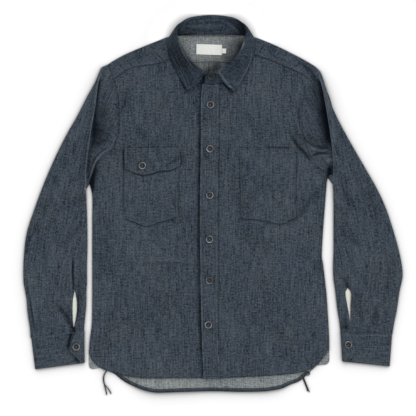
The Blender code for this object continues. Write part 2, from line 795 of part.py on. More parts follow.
def flattened_ring(plan, below, heights):
    """A ring over the top from the outer fold to the inner one, and back along the surface."""
    top = [point(p.x, p.y, z) for p, z in zip(plan, heights)]
    floor = [point(p.x, p.y, FLOOR_MID) for p in below]
    found = {}
    for end, second in ((0, 1), (-1, -2)):
        tip = point(plan[end].x, plan[end].y, (FLOOR_MID + heights[end]) / 2)
        over = (top[second] - top[end]).to_2d().to_3d()
        under = (floor[second] - floor[end]).to_2d().to_3d()
        half = tip.z - FLOOR_MID
        roomy = smooth((half - LOW_FOLD) / LOW_FOLD)
        near = min(0.55 * half, over.length / 5, under.length / 5)
        rise, next_rise = lerp(0.85, 0.62, roomy), lerp(1.0, 0.9, roomy)
        rim, foot = [], []
        for reach, share in ((near, rise), (3.4 * near, next_rise)):
            rim.append(tip + over.normalized() * reach + point(0, 0, share * (heights[second] - tip.z)))
            foot.append(tip + under.normalized() * reach - point(0, 0, min(1.0, share + 0.1) * half))
        found[end] = (tip, rim, foot)
    outer, inner = found[0], found[-1]
    ring = [outer[0]] + outer[1] + top[1:-1] + inner[1][::-1] + [inner[0]]
    return ring + inner[2] + floor[-2:0:-1] + outer[2][::-1]


def sleeve(side):
    """A sleeve, one flattened tube from the armhole to the cuff, with its pleat and its slit."""
    seam = moved(ARMHOLES[side], (-GAP, GAP)[side])
    armhole_places = lengths(seam)
    pleat = pleat_rings(side, seam, armhole_places)
    rows = []
    for n, (ox, oy, ix, iy, bow, height) in enumerate(SLEEVE_ROWS[side]):
        rows.append((point(ox, oy), point(ix, iy), bow, height, min(1.0, (n + 1) / STRAIGHT_ROW), None))
    slit_start = len(rows)
    for ox, oy, ix, iy, slit_x, half in SLIT_ROWS[side]:
        span = ix - ox
        slit = sorted(((slit_x - half - ox) / span, (slit_x + half - ox) / span))
        rows.append((point(ox, oy), point(ix, iy), 0, SLEEVE_MID, 1.0, slit))
    body = []
    for outer, inner, bow, height, straight, slit in rows:
        run = inner - outer
        away = OUTWARD[side] * point(abs(run.y), run.x * OUTWARD[side]).normalized()
        plan, heights = [], []
        for place in sleeve_places(armhole_places, straight, slit):
            p = lerp(outer, inner, place) + away * bow * 4 * place * (1 - place)
            rise = height - SLEEVE_MID
            plan.append(p)
            inside = smooth(min(place, 1 - place) * run.length / EDGE_RISE)
            heights.append(SLEEVE_MID + rise * math.sin(math.pi * place) + inside * folds(SLEEVE_FOLDS, p.x, p.y))
        body.append((plan, heights))
    rings = []
    first_row = body[0][0]
    for k, (plan, heights) in enumerate(pleat):
        below = [lerp(a, b, k / len(pleat)) for a, b in zip(seam, first_row)]
        below[0], below[-1] = plan[0], plan[-1]
        rings.append(flattened_ring(plan, below, heights))
    rings += [flattened_ring(plan, plan, heights) for plan, heights in body]
    hole_column = SLIT_COLUMNS[0] + 2
    hole_start = len(pleat) + slit_start
    hole = [(hole_start + n, hole_column) for n in range(len(SLIT_ROWS[side]) - 2)]
    cloth("sleeve_" + SIDES[side], rings, DENIM, ring=True, left_out=hole)


def self_edge(side):
    """The pale self-edge that shows in a sleeve's slit, lying inside the sleeve."""
    height = SLEEVE_MID - CLOTH / 2 - GAP - THIN / 2
    rows = []
    for _, oy, _, iy, slit_x, _ in SLIT_ROWS[side][:-1]:
        y = lerp(oy, iy, SLIT_PLACE)
        row = [point(slit_x + d, y) for d in (-SELF_EDGE_HALF, 0, SELF_EDGE_HALF)]
        rows.append([point(p.x, y, height + folds(SLEEVE_FOLDS, p.x, y)) for p in row])
    cloth("self_edge_" + SIDES[side], rows, SELF_EDGE, THIN)


def cuff(side):
    """A cuff: it starts under its tab, goes out over the top, back below, and over the inner fold as the tab."""
    outer_top, inner_top, outer_low, inner_low = [point(*p) for p in CUFF_CORNERS[side]]
    rows = []
    for place, tab in CUFF_TAB[side]:
        outer, inner = lerp(outer_top, outer_low, place), lerp(inner_top, inner_low, place)
        width = (outer - inner).length
        section = [(9, CUFF_TOP), (0.35 * width, CUFF_TOP), (0.7 * width, CUFF_TOP)]
        section += [(width - 5, CUFF_TOP), (width - 1.4, 3.6), (width, 2.55), (width - 1.4, 1.5)]
        section += [(width - 5, CUFF_MID), (0.5 * width, CUFF_MID), (6, CUFF_MID)]
        section += [(2.6, 1.2), (0.7, 2.3), (0, 3.75), (0.7, 5.2), (2.6, 6.3), (5.2, TAB_TOP)]
        section += [((5.2 + tab) / 2, TAB_TOP), (tab, TAB_TOP)]
        along = (outer - inner).normalized()
        rows.append([inner + along * s + point(0, 0, z) for s, z in section])
    cloth("cuff_" + SIDES[side], rows, DENIM, DOUBLE)


def tag(name, corners, colour):
    """A woven tag on the inside of the yoke."""
    x0, y0, x1, y1 = corners
    columns, steps = 3, 2
    rows = []
    for j in range(steps + 1):
        rows.append([point(lerp(x0, x1, i / columns), lerp(y0, y1, j / steps)) for i in range(columns + 1)])
    lift = CLOTH / 2 + GAP + THIN / 2
    cloth(name, raised(rows, lambda x, y: back_mid(x, y) + lift), colour, THIN)


def button_mesh():
    """One turned button: a raised rim round a dish."""
    bm = bmesh.new()
    verts = [bm.verts.new((r * MM, 0, z * MM)) for r, z in BUTTON_PROFILE]
    edges = [bm.edges.new(pair) for pair in zip(verts, verts[1:])]
    bmesh.ops.spin(
        bm, geom=verts + edges, cent=(0, 0, 0), axis=(0, 0, 1), angle=math.tau, steps=BUTTON_SIDES, use_merge=True
    )
    bmesh.ops.remove_doubles(bm, verts=bm.verts, dist=1e-6)
    bmesh.ops.recalc_face_normals(bm, faces=bm.faces)
    mesh = bpy.data.meshes.new("button")
    bm.to_mesh(mesh)
    bm.free()
    mesh.shade_smooth()
    mesh.set_sharp_from_angle(angle=math.radians(40))
    return mesh


def button(name, place, height, tilt=0.0):
    """A button on a cloth whose mid-height is given."""
    obj = piece(name, button_mesh(), BUTTON_SHELL, 0.35)
    obj.location = point(*place, height) * MM
    obj.rotation_euler.x = tilt


def buttons(band):
    """All the buttons. The collar's lies on the band, the stand's column at the centre of the front."""
    on_cloth = CLOTH / 2 + GAP
    for n, place in enumerate(PLACKET_BUTTONS):
        button(f"button_{n + 1}", place, front_mid(RIGHT, *place) + LAYER + on_cloth)
    button("button_flap", FLAP_BUTTON, front_mid(LEFT, *FLAP_BUTTON) + 2 * LAYER + on_cloth)
    for side in (LEFT, RIGHT):
        button("button_cuff_" + SIDES[side], CUFF_BUTTONS[side], TAB_TOP + DOUBLE / 2 + GAP)
    foot, top = band[1], band[-1]
    slope = math.atan2(top.z - foot.z, top.y - foot.y)
    rise = (COLLAR_BUTTON[1] - foot.y) * math.tan(slope)
    clear = (DOUBLE / 2 + GAP) / math.cos(slope)
    button("button_collar", COLLAR_BUTTON, foot.z + rise + clear, slope)


def shirt():
    back_panel()
    yoke()
    for side in (LEFT, RIGHT):
        front_panel(side)
        sleeve(side)
        self_edge(side)
        cuff(side)
        patch("pocket_" + SIDES[side], side, POCKET[side], 1)
        gusset(side)
    patch("pocket_flap", LEFT, FLAP, 2)
    button_strip()
    hem_strip()
    band = collar()
    tag("label", LABEL, LABEL_CLOTH)
    tag("size_tab", SIZE_TAB, LABEL_CLOTH)
    buttons(band)


for old in list(bpy.data.objects):
    bpy.data.objects.remove(old, do_unlink=True)
root = bpy.data.objects.new("shirt", None)
bpy.context.scene.collection.objects.link(root)
root.location = point(-MIDDLE_X, -SHIRT_LENGTH / 2) * MM
shirt()
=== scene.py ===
import math

import bpy
import numpy as np
from mathutils import Matrix, Vector
from mathutils.bvhtree import BVHTree


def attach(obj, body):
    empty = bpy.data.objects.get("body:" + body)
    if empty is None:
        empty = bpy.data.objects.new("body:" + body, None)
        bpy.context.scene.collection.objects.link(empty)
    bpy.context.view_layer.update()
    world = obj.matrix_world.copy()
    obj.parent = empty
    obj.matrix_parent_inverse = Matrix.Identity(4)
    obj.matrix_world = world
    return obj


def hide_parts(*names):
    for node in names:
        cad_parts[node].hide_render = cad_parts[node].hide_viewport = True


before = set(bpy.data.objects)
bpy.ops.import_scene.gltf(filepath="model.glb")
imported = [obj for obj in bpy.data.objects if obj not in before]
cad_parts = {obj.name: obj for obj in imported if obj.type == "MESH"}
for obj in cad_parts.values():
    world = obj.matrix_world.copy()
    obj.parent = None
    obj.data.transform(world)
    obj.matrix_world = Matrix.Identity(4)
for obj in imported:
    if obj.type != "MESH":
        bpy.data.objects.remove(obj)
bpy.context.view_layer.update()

# The shirt's own sizes are in millimetres. x runs across from the line of the buttons, y runs up from the lowest
# point of the hem, and z runs up from the surface that it lies on. Left and right are as seen from above.
MM = 0.001
LEFT, RIGHT = 0, 1
SIDES = ("left", "right")
OUTWARD = (-1, 1)
MIDDLE = np.array((7, 385.5, 0))

# Cloth and its layers
CLOTH = 1.2
DOUBLE = 1.8
THIN = 1.0
GAP = 0.3
LAYER = CLOTH + GAP
FLOOR_MID = CLOTH / 2
EDGE_MID = FLOOR_MID + LAYER
FRONT_MID = 4.0
EDGE_RISE = 22
SLEEVE_MID = 5.4
NECK_RISE = 22
BACK_NECK_MID = 3.0
BACK_NECK_RISE = 18

# Armhole seams from the shoulder to the underarm: left x, left y, right x, right y
ARMHOLE = (
    (-209, 668, 217, 664),
    (-202, 654, 210, 652),
    (-196, 639, 204, 639),
    (-191, 622, 197, 622),
    (-188, 605, 192, 605),
    (-186, 584, 190, 584),
    (-186, 564, 189, 564),
    (-186, 543, 190, 543),
    (-189, 523, 192, 523),
    (-196, 501, 198, 501),
    (-209, 484, 207, 483),
    (-223, 471, 217, 468),
    (-234, 457, 228, 456),
    (-242, 441, 236, 447),
    (-248, 424, 244, 438),
)
FRONT_YOKE_ROW, BACK_YOKE_ROW = 2, 3

# Side seams from the hem to just under the arm
SIDE_SEAM = (
    (-247, 78, 245, 82),
    (-245, 105, 245, 105),
    (-241, 137, 243, 146),
    (-240, 187, 239, 203),
    (-240, 310, 233, 256),
    (-240, 350, 230, 289),
    (-240, 400, 239, 416),
)

# The fold over the shoulder, from the armhole to the collar
SHOULDER = (
    (-183, 684, 194, 678),
    (-155, 697, 171, 690),
    (-126, 709, 145, 703),
    (-93, 722, 118, 715),
    (-79, 727, 88, 726),
)
# The yoke's front seam, from the armhole to the collar
YOKE_SEAM = (
    (-183, 650, 194, 648),
    (-169, 659, 173, 658),
    (-153, 664, 149, 668),
    (-130, 668, 124, 679),
    (-101, 673, 105, 685),
    (-85, 679, 91, 690),
)
YOKE_STEPS, SEAM_STEPS = 8, 24
BACK_SEAM_Y = 675
BACK_SEAM_DROP = 53

# Hems: x, y
FRONT_HEM = (
    ((-239, 62), (-223, 48), (-196, 38.5), (-169, 30.5), (-146, 27.5),
     (-125, 26), (-96, 26), (-49, 26.5), (19, 26.5)),
    ((242, 82), (223, 57.5), (204, 44), (185, 38), (147, 33.2), (87, 29.5), (22, 26.5), (-13, 25.5)),
)
BACK_HEM = (
    (-239, 62), (-223, 47), (-196, 36), (-182, 25), (-169, 16.5), (-155, 10), (-141, 4), (-127, 0), (-110, -3),
    (-90, -2.8), (-49, -1.3), (10, 0), (60, -1.4), (104, -0.8), (125, 1.2), (147, 5.2), (166, 13.5), (185, 21),
    (204, 38), (223, 55.5),
)
HEM_STRIP_ENDS = (-200, 204)
HEM_STRIP = 7
# How far the back hem lifts off the surface, half the width over which it does, how softly that ends, and how far
# in from the hem it reaches
TAIL_RISE, TAIL_WIDTH, TAIL_FADE, TAIL_REACH = 4.5, 185, 60, 20
GUSSET_CORNERS = (((-247.3, 75), (-245, 47)), ((245.3, 79), (243, 57)))
GUSSET_INNER = 219

# Button strip: y, left edge x, right edge x
PLACKET = (
    (25.5, -13, 22),
    (133, -17, 17),
    (225, -19, 17),
    (312, -20, 17),
    (400, -20, 17),
    (498, -18, 19),
    (584, -18.2, 19),
    (611, -15, 19),
)
# From here up the strip's rows bend to the neck's seam
STRIP_BEND = 520
UNDER_LAP = 19
LAP_END, LAP_FALL = 22, 38

# Half of the collar, from the centre of the back to the centre of the front
COLLAR_X = 4
COLLAR = (
    # neck seam: out, y, z left, z right; crest: out, y, z; leaf edge: out, y, z; how far the leaf bulges
    ((0, 731, 3.0, 3.0), (0, 770, 2.6), (0, 727, 0.9), 1),
    ((23, 731, 3.0, 3.0), (25, 768, 6), (23, 727, 0.9), 3),
    ((44, 730.5, 3.2, 3.2), (46, 763, 19), (46, 728, 0.9), 13),
    ((58, 730, 3.8, 3.8), (60, 754, 28), (66, 731.5, 0.9), 14),
    ((69.5, 728, 4.9, 4.9), (69.5, 744, 33), (79, 731, 3.6), 6),
    ((77, 721, 5.2, 5.2), (71.5, 732, 35), (87, 724, 7.0), 4),
    ((79.5, 709, 5.2, 5.2), (68, 718, 36), (89.5, 713, 7.4), 4),
    ((77, 697.5, 5.2, 5.2), (63.5, 704, 35.5), (89, 700, 7.4), 4),
    ((72.5, 686.5, 5.2, 5.3), (56.5, 691, 34), (86, 687, 7.4), 4),
    ((63, 669, 5.0, 5.4), (49, 680.5, 31.5), (80, 673, 7.4), 4),
    ((50, 655, 4.7, 5.8), (39.5, 671, 28), (73, 658, 7.4), 4),
    ((34, 642, 4.4, 6.3), (26, 662, 24), (64, 641, 7.4), 4),
    ((17, 632, 4.1, 6.8), (13, 654, 20.5), (48.5, 613, 7.6), 3),
)
STAND_ENDS = (
    ((0, 628, 4.0, 7.0), (0, 655, 20.8)),
    ((-15, 631, 4.0, 7.1), (-11, 655, 21)),
)
NECK_POINT_ROW, YOKE_NECK_ROW = 4, 8
FRONT_NECK_LIMIT = 5.5
NECK_GAP = 1.3
BACK_NECK_GAP = (0.4, 0.4, 0.6, 1.3)
NECK_TURN = 2.1
ROLL = 1.6
ROLL_INSIDE = 4.5

# Sleeves from the armhole's pleat to the cuff: outer x, outer y, inner x, inner y, bow, height
SLEEVE_ROWS = (
    (
        (-234, 632, -254, 407, 9, 6.8),
        (-250, 603, -253.5, 402, 8, 6.2),
        (-270, 564, -253, 397, 4, 5.4),
        (-290, 529, -253, 390, 2, 5.4),
        (-309, 492, -252.5, 380, 0, 5.4),
        (-326, 455, -252, 366, 0, 5.4),
        (-342, 416, -251.5, 347, 0, 5.4),
        (-360, 367, -251, 322, 0, 5.4),
        (-374, 322, -251, 293, 0, 5.4),
        (-380, 269, -252, 257, 0, 5.4),
        (-380, 222, -252, 222, 0, 5.4),
    ),
    (
        (232, 640, 254, 418, 12, 10.8),
        (245, 597, 254.5, 412, 11, 8.6),
        (259, 564, 254.5, 406, 7, 6.6),
        (278, 527, 254.5, 398, 3, 5.4),
        (299, 490, 255, 386, 0, 5.4),
        (321, 452, 255, 368, 0, 5.4),
        (342, 415, 255, 344, 0, 5.4),
        (360, 376, 255, 318, 0, 5.4),
        (377, 325, 255, 285, 0, 5.4),
        (390, 276, 254, 254, 0, 5.4),
        (395, 238, 255, 230, 0, 5.4),
    ),
)
# Below them, the rows beside the slit: outer x, outer y, inner x, inner y, slit x, half its width
SLIT_ROWS = (
    (
        (-377, 205, -253, 205, -276, 0.8),
        (-374, 187, -253, 187, -276, 3.8),
        (-372.5, 166, -254, 168, -276, 4.5),
        (-370, 147, -256, 148, -277, 3.0),
        (-367, 128, -257.5, 132, -278, 0.8),
        (-366, 113.5, -258, 125.5, -278, 0.8),
    ),
    (
        (390, 211, 257.7, 211, 283.4, 0.9),
        (388.6, 204, 258.7, 204, 284, 5.2),
        (384.5, 176, 261.5, 178, 285.5, 3.5),
        (381.6, 158, 264, 160, 287, 1.7),
        (378, 142, 266.7, 144, 288, 0.6),
        (374.5, 121.5, 269, 122.5, 288, 0.8),
    ),
)
SLIT_COLUMNS = (10, 11)
SLIT_PLACE, SLIT_PLACE_HALF = 0.80, 0.013
LOW_FOLD = 0.75
STRAIGHT_ROW = 5
SELF_EDGE_HALF = 8
# How strong the red line in each self-edge is
RED_LINE = (0.12, 0.55)

# The pleat where each sleeve lies over its own cap
PLEAT_LINE = (
    (-219, 663, 224, 656),
    (-228, 633, 235, 601),
    (-235, 579, 243, 556),
    (-243, 533, 249, 515),
    (-253, 458, 253, 474),
    (-254, 411, 254, 422),
)
PLEAT_DEPTH = 12
PLEAT_TURN = 0.9
PLEAT_CREST_TURN = 1.2
PLEAT_CREST = (10.5, 12.0)
PLEAT_LOW = 7.0
PLEAT_ENDS = (0.30, 0.22)
PLEAT_CELLS = (12, 12, 3, 3, 4, 3, 3, 9)
CAP_ROWS, CREST_ROW = 27, 37
PLEAT_LAID = (0.8, 5)
# How deep the pleat is where its painted shade is full, and how strong the painted highlight along its crest is
PLEAT_SHADED, PLEAT_HIGHLIGHT = 5, 0.36
SLEEVE_LINE = ((236, 640), (268, 500), (300, 340), (316, 245), (312, 120))
# How far the sleeve's lower layer lies outside the armhole's seam and its upper one inside it, and how far from the
# cap's edge its folds reach their height
SEAM_OUT, SEAM_TUCK, CAP_RISE = 0.6, 0.7, 8

# Cuffs: corners, then for each row down the cuff its place and how far the tab reaches from the inner fold
CUFF_CORNERS = (
    ((-364.5, 112.8), (-257.5, 124.8), (-356, 45), (-257, 58)),
    ((373.5, 121), (269.5, 121.9), (368, 51), (273, 61)),
)
CUFF_TAB = (
    ((0, 16.5), (0.25, 24), (0.5, 31), (0.6, 30), (0.8, 15.5), (1, 7)),
    ((0, 16), (0.25, 22), (0.5, 27), (0.6, 26), (0.8, 14), (1, 7)),
)
CUFF_MID, CUFF_TOP, TAB_TOP = DOUBLE / 2, 4.2, 6.6
CUFF_CELLS = (12, 14, 12, 2, 2, 2, 2, 10, 10, 2, 2, 2, 2, 2, 2, 4, 5)
TUCK_MID = 2.6
# Rows of the sleeve's end inside the cuff: how far in, and how flat
TUCKS = ((1.0, 0.25), (2.2, 0.6), (4.5, 0.85))
# How dark the painted shadow beside the cuff's tab is, and its other tones: painted shade in its folds and beside
# its edges, and painted highlights
CUFF_TAB_TONES = (1.0, 0.3)
CUFF_TONES = (
    (
        (0, 4, 1.0, (-281, 126), (-287, 104), (-291, 84)),
        (0, 5, 1.0, (-277, 69), (-265, 59)),
    ),
    (
        (0, 3, 1.0, (285, 62), (293, 65)),
        (0, 1.2, -0.4, (299, 87), (292, 75), (285, 62.5)),
        (0, 1.5, 0.6, (378, 119), (322, 119), (265, 119.5)),
        (0, 1.3, -0.2, (378, 114), (322, 114), (265, 115)),
    ),
)

# Pockets and flap: the top edge's ends, then the lower edge from left to right
POCKET = (
    (((-175, 499), (-64, 499)), ((-175, 354), (-152, 346), (-129, 338), (-97, 348), (-64, 357))),
    (((61, 499), (177, 499)), ((65, 353), (100, 351), (123, 347), (150, 343), (177, 357))),
)
FLAP = (
    ((-175, 499), (-60, 499)),
    ((-174, 455), (-157, 449), (-139, 443), (-118, 446), (-104, 451), (-81, 453), (-59, 462)),
)

# Label and size tab: left x, bottom y, right x, top y
LABEL = (-27.5, 689.2, 25, 710.3)
SIZE_TAB = (25.3, 693, 33.6, 703)
LABEL_TURN = -0.035

# Cells of the larger sheets, across and along
BACK_CELLS = (100, 110)
FRONT_CELLS = (104, 280)
STRIP_CELLS = (24, 390)
PATCH_CELLS = (76, 96)
# How far a fold's row acts in half widths, its strength at its very ends, and how fast it grows from there
FOLD_REACH, FOLD_ENDS, FOLD_GROWTH = 3, 0.25, 3.2
# How much painted shade darkens the borders of the back and of the fronts
BACK_BORDER, FRONT_BORDER = 0.5, 0.22
# How strong the shade beside sewn pieces is on average, and how much it varies, with the cell and the seed
SHADE_MEAN, SHADE_VARIES, SHADE_CELL, SHADE_SEED = 0.78, 0.22, 23, 31
# Tones beside the button strip: distance, half width, tone. The last is beside the yoke's front seam.
STRIP_SHADE = (1.7, 3.6, 1.0)
STRIP_FAR_SHADE = (-1.2, 1.6, 0.4)
YOKE_SEAM_SHADE = (3.2, 0.25)
# A seam's line on the button strip and on patches, painted shade in its groove: tone, distance from the edge, half
# width
STRIP_LINE = (0.3, 4.4, 1.4)
PATCH_LINE = (0.18, 3.2, 1.3)
# Small forms beside edges and seams: height, how far from the edge they lie, half width
HOLE_RIDGE = (0.6, 2.5, 2.5)
SEAM_DIP = (0.25, 0, 3)
YOKE_RIDGE = (0.9, 2.4, 2.4)
STRIP_GROOVE = (0.45, 4.4, 1.5)
STRIP_EDGE = (0.3, 0, 3)
STRIP_PUCKER = (0.3, 0, 6)
PATCH_GROOVE = (0.35, 3.2, 1.4)
PATCH_SWELL = 0.5
# Soft unevenness of the fronts and of the sleeves: height, cell, seed
FRONT_WAVES = ((0.35, 46, 3), (0.14, 17, 5))
SLEEVE_WAVES = ((0.4, 44, 11),)

# Folds as soft ridges and troughs. Each row: height, half width, tone, then the points that it follows. A tone above
# 0 paints shade along the line and one below 0 paints a pale highlight.
ARM_FOLDS = (
    (-0.6, 3.0, 0.85, (-223, 646), (-228, 617), (-232, 576)),
    (-1.2, 5, 0.85, (-232, 588), (-235, 556), (-238, 519), (-242, 490)),
    (-1.2, 8, 0.7, (-234, 556), (-236, 535), (-236, 517)),
    (0, 18, 0.45, (-218, 596), (-220, 560), (-224, 520), (-232, 486)),
    (0, 9, 0.4, (-238, 528), (-222, 529), (-210, 532)),
    (-0.8, 3, 0.7, (-236, 537), (-223, 534)),
    (-0.6, 2, 0.5, (-222, 524), (-232, 515), (-238, 508)),
    (-0.8, 2.2, 0.75, (-244, 502), (-247, 474), (-250, 441)),
    (0, 12, 0.15, (-232, 480), (-238, 460), (-243, 440)),
    (0.9, 4, 0, (-229, 512), (-214, 521), (-198, 523)),
    (-0.8, 3, 0.5, (-237, 500), (-222, 512), (-206, 512)),
    (0.8, 3.2, 0, (-227, 547), (-214, 564), (-208, 580)),
    (-0.7, 3, 0.3, (-227, 560), (-216, 574), (-212, 590)),
    (1.1, 3.4, 0, (-192, 502), (-212, 493), (-229, 479), (-238, 459), (-246, 428)),
    (-1.0, 2.2, 0.6, (-204, 500), (-220, 491), (-234, 477), (-241, 457)),
    (-0.9, 2.2, 0.6, (-198, 494), (-216, 484), (-230, 467), (-239, 441)),
    (-1.5, 8.5, 1.0, (-234, 462), (-240, 437), (-242, 404)),
    (-0.6, 4.5, 1.0, (-232, 468), (-239, 440), (-244, 408)),
    (0, 1.1, -0.42, (-198, 499), (-214, 492), (-231, 476), (-239, 455), (-249, 426)),
    (0, 1.1, -0.32, (-206, 491), (-235, 468), (-247, 430)),
    (-0.5, 3.5, 0.45, (-170, 623), (-171, 601), (-177, 582), (-186, 566)),
    (-0.4, 3, 0.35, (-201, 644), (-202, 623)),
    (-0.4, 4, 0.3, (-190, 580), (-186, 554), (-190, 527)),
    (0.5, 6, 0, (-196, 617), (-192, 588), (-196, 560)),
    (-1.4, 5.5, 0.85, (224, 650), (228, 617), (233, 584), (240, 551)),
    (-1.6, 8.5, 1.0, (231, 588), (237, 556), (241, 527), (245, 498)),
    (0, 15, 0.55, (216, 640), (222, 604), (230, 560), (237, 516)),
    (-0.6, 3.2, 1.0, (227, 645), (231, 621), (238, 580), (246, 535), (251, 494)),
    (-1.2, 6, 0.6, (179, 683), (194, 669), (210, 651), (222, 629)),
    (0.7, 6, 0, (190, 681), (204, 668), (218, 654)),
    (-1.8, 4.6, 0.8, (167, 525), (181, 502), (198, 485), (212, 468)),
    (0, 10, 0.42, (200, 522), (225, 513), (247, 511)),
    (0, 7, 0.62, (212, 493), (230, 496), (248, 496)),
    (-0.9, 5, 0.35, (177, 531), (194, 510), (204, 494)),
    (-1.2, 2.8, 0.65, (189, 527), (204, 508), (224, 500), (247, 497)),
    (-1.2, 2.6, 0.95, (208, 481), (227, 488), (247, 486)),
    (1.6, 4.4, -0.1, (192, 518), (208, 497), (231, 493), (249, 491)),
    (0, 1.2, -0.42, (205, 499), (226, 493), (246, 494)),
    (1.2, 4, 0, (212, 476), (229, 482), (249, 478)),
    (0, 1.4, -0.6, (239, 471), (251, 476)),
    (0, 1.2, -0.12, (206, 478), (216, 467), (231, 457), (243, 451)),
    (-0.7, 3, 0.4, (212, 467), (227, 455), (243, 447)),
    (-1.2, 6.5, 1.0, (247, 466), (246, 445), (244, 420)),
    (-0.4, 4, 1.0, (246, 458), (243, 430)),
    (0, 1.6, -0.35, (201, 636), (199, 623)),
    (-0.4, 2.6, 0.3, (196, 633), (194, 613), (198, 594)),
    (0.5, 3, 0, (202, 613), (212, 599), (218, 580)),
    (-0.5, 2.4, 0.2, (196, 601), (208, 586), (216, 566)),
    (0.5, 3, 0, (192, 584), (204, 568), (214, 547)),
    (-0.5, 2.4, 0.2, (190, 570), (202, 554), (214, 531)),
    (-0.4, 3.5, 0.3, (186, 597), (183, 564), (188, 535)),
)
BODY_FOLDS = (
    (-1.0, 7, 0.35, (163, 338), (186, 363), (208, 394), (229, 424)),
    (0.8, 8, -0.05, (173, 330), (198, 357), (222, 385)),
    (-0.8, 4, 0.35, (-79, 466), (-67, 476), (-52, 485)),
    (0.7, 5, 0, (-77, 457), (-60, 467), (-46, 478)),
    (0.6, 3.5, -0.1, (-142, 266), (-85, 269), (-19, 264)),
    (-0.5, 4, 0.15, (-145, 260), (-85, 261), (-19, 258)),
    (-0.7, 10, 0.15, (-216, 371), (-212, 310), (-218, 238)),
    (0.6, 12, 0, (-200, 381), (-196, 299), (-204, 207)),
    (-0.7, 9, 0.18, (239, 361), (231, 289), (237, 207)),
    (0.6, 12, 0, (218, 340), (210, 264), (218, 187)),
    (-0.5, 7, 0.14, (46, 597), (83, 556), (108, 510)),
    (0.6, 9, 0, (30, 588), (65, 543), (85, 502)),
    (-0.5, 7, 0.14, (-44, 601), (-77, 560), (-101, 515)),
    (0.6, 9, 0, (-28, 588), (-58, 547), (-83, 508)),
    (-0.5, 8, 0.12, (-28, 187), (-60, 125), (-69, 53)),
    (0.5, 10, 0, (-48, 195), (-85, 125), (-91, 47)),
    (-0.5, 8, 0.12, (38, 207), (75, 135), (83, 53)),
    (0.5, 10, 0, (58, 215), (99, 141), (106, 59)),
    (-0.5, 8, 0.14, (-183, 207), (-204, 135), (-222, 80)),
    (0.5, 9, 0, (-163, 211), (-181, 135), (-200, 68)),
    (-0.5, 8, 0.14, (186, 203), (210, 135), (231, 84)),
    (0.5, 9, 0, (165, 207), (188, 135), (208, 72)),
    (-0.4, 5, 0.12, (-122, 334), (-77, 314), (-28, 318)),
    (-0.4, 5, 0.12, (42, 326), (93, 303), (149, 314)),
)
SLEEVE_FOLDS = (
    (-1.2, 2.6, 0.75, (-376, 230), (-371, 201), (-366, 174), (-362, 150), (-358, 119)),
    (0.6, 2.5, -0.2, (-371, 225), (-366, 195), (-361, 170), (-356, 141)),
    (-1.2, 5, 0.62, (-312, 178), (-294, 155), (-279, 128)),
    (0.8, 7, 0, (-331, 170), (-312, 143), (-294, 120)),
    (-1.0, 5.2, 0.95, (-282, 137), (-278, 123), (-280, 109)),
    (-0.8, 2.2, 1.0, (-280, 279), (-280, 238), (-278, 202)),
    (0.4, 1.8, -0.15, (-284, 269), (-284, 236), (-284, 205)),
    (-0.5, 1.6, 0.8, (-269, 207), (-268, 176), (-272, 144)),
    (-0.4, 1.5, 0.4, (-266, 199), (-260, 184)),
    (-1.0, 7, 0.25, (-257, 346), (-286, 314), (-315, 289)),
    (0.8, 8, 0, (-255, 330), (-282, 295), (-311, 269)),
    (-0.9, 8, 0.2, (-306, 453), (-327, 408), (-339, 361)),
    (0.7, 9, 0, (-292, 443), (-311, 396), (-323, 346)),
    (-0.8, 8, 0.2, (-368, 340), (-347, 310), (-339, 264)),
    (0.7, 8, 0, (-380, 318), (-362, 289), (-354, 244)),
    (-0.7, 5, 0.2, (-259, 400), (-282, 381), (-302, 371)),
    (0.6, 6, 0, (-257, 385), (-280, 365), (-302, 353)),
    (-0.6, 6, 0.18, (-257, 252), (-268, 217), (-265, 176)),
    (-0.6, 6, 0.2, (-253, 500), (-262, 460), (-280, 420)),
    (0.7, 7, 0, (-262, 530), (-270, 480), (-290, 438)),
    (-1.1, 6, 0.3, (263, 453), (276, 408), (300, 367)),
    (0.8, 7, 0, (278, 457), (292, 412), (315, 375)),
    (-0.9, 6, 0.25, (257, 346), (284, 314), (313, 297)),
    (0.7, 7, 0, (257, 326), (282, 291), (313, 273)),
    (-0.9, 7, 0.2, (321, 412), (337, 367), (345, 318)),
    (0.7, 8, 0, (304, 416), (321, 367), (329, 314)),
    (-0.8, 5, 0.25, (263, 244), (288, 207), (321, 187)),
    (0.7, 6, 0, (263, 223), (286, 187), (317, 162)),
    (-0.8, 5, 0.25, (378, 277), (366, 240), (362, 195)),
    (0.7, 6, 0, (366, 281), (352, 240), (347, 191)),
    (-0.7, 6, 0.2, (350, 187), (337, 150), (329, 117)),
    (0.6, 6, 0, (335, 187), (323, 150), (313, 119)),
    (-0.6, 2, 0.6, (274, 232), (281, 219), (285, 209)),
    (-0.6, 2, 0.4, (284, 223), (280, 211)),
    (-0.6, 2.4, 0.35, (298, 203), (304, 187), (317, 141)),
    (-0.6, 3, 0.25, (292, 195), (309, 150), (313, 129)),
    (-0.8, 3.6, 0.7, (268, 135), (276, 131), (288, 127)),
    (-0.7, 3, 0.5, (276, 150), (279, 138), (282, 128)),
    (-0.5, 2, 0.35, (340, 160), (344, 142), (345, 128)),
    (-0.6, 5, 0.2, (246, 580), (258, 547), (276, 510)),
    (0.7, 6, 0, (256, 585), (270, 547), (292, 506)),
)
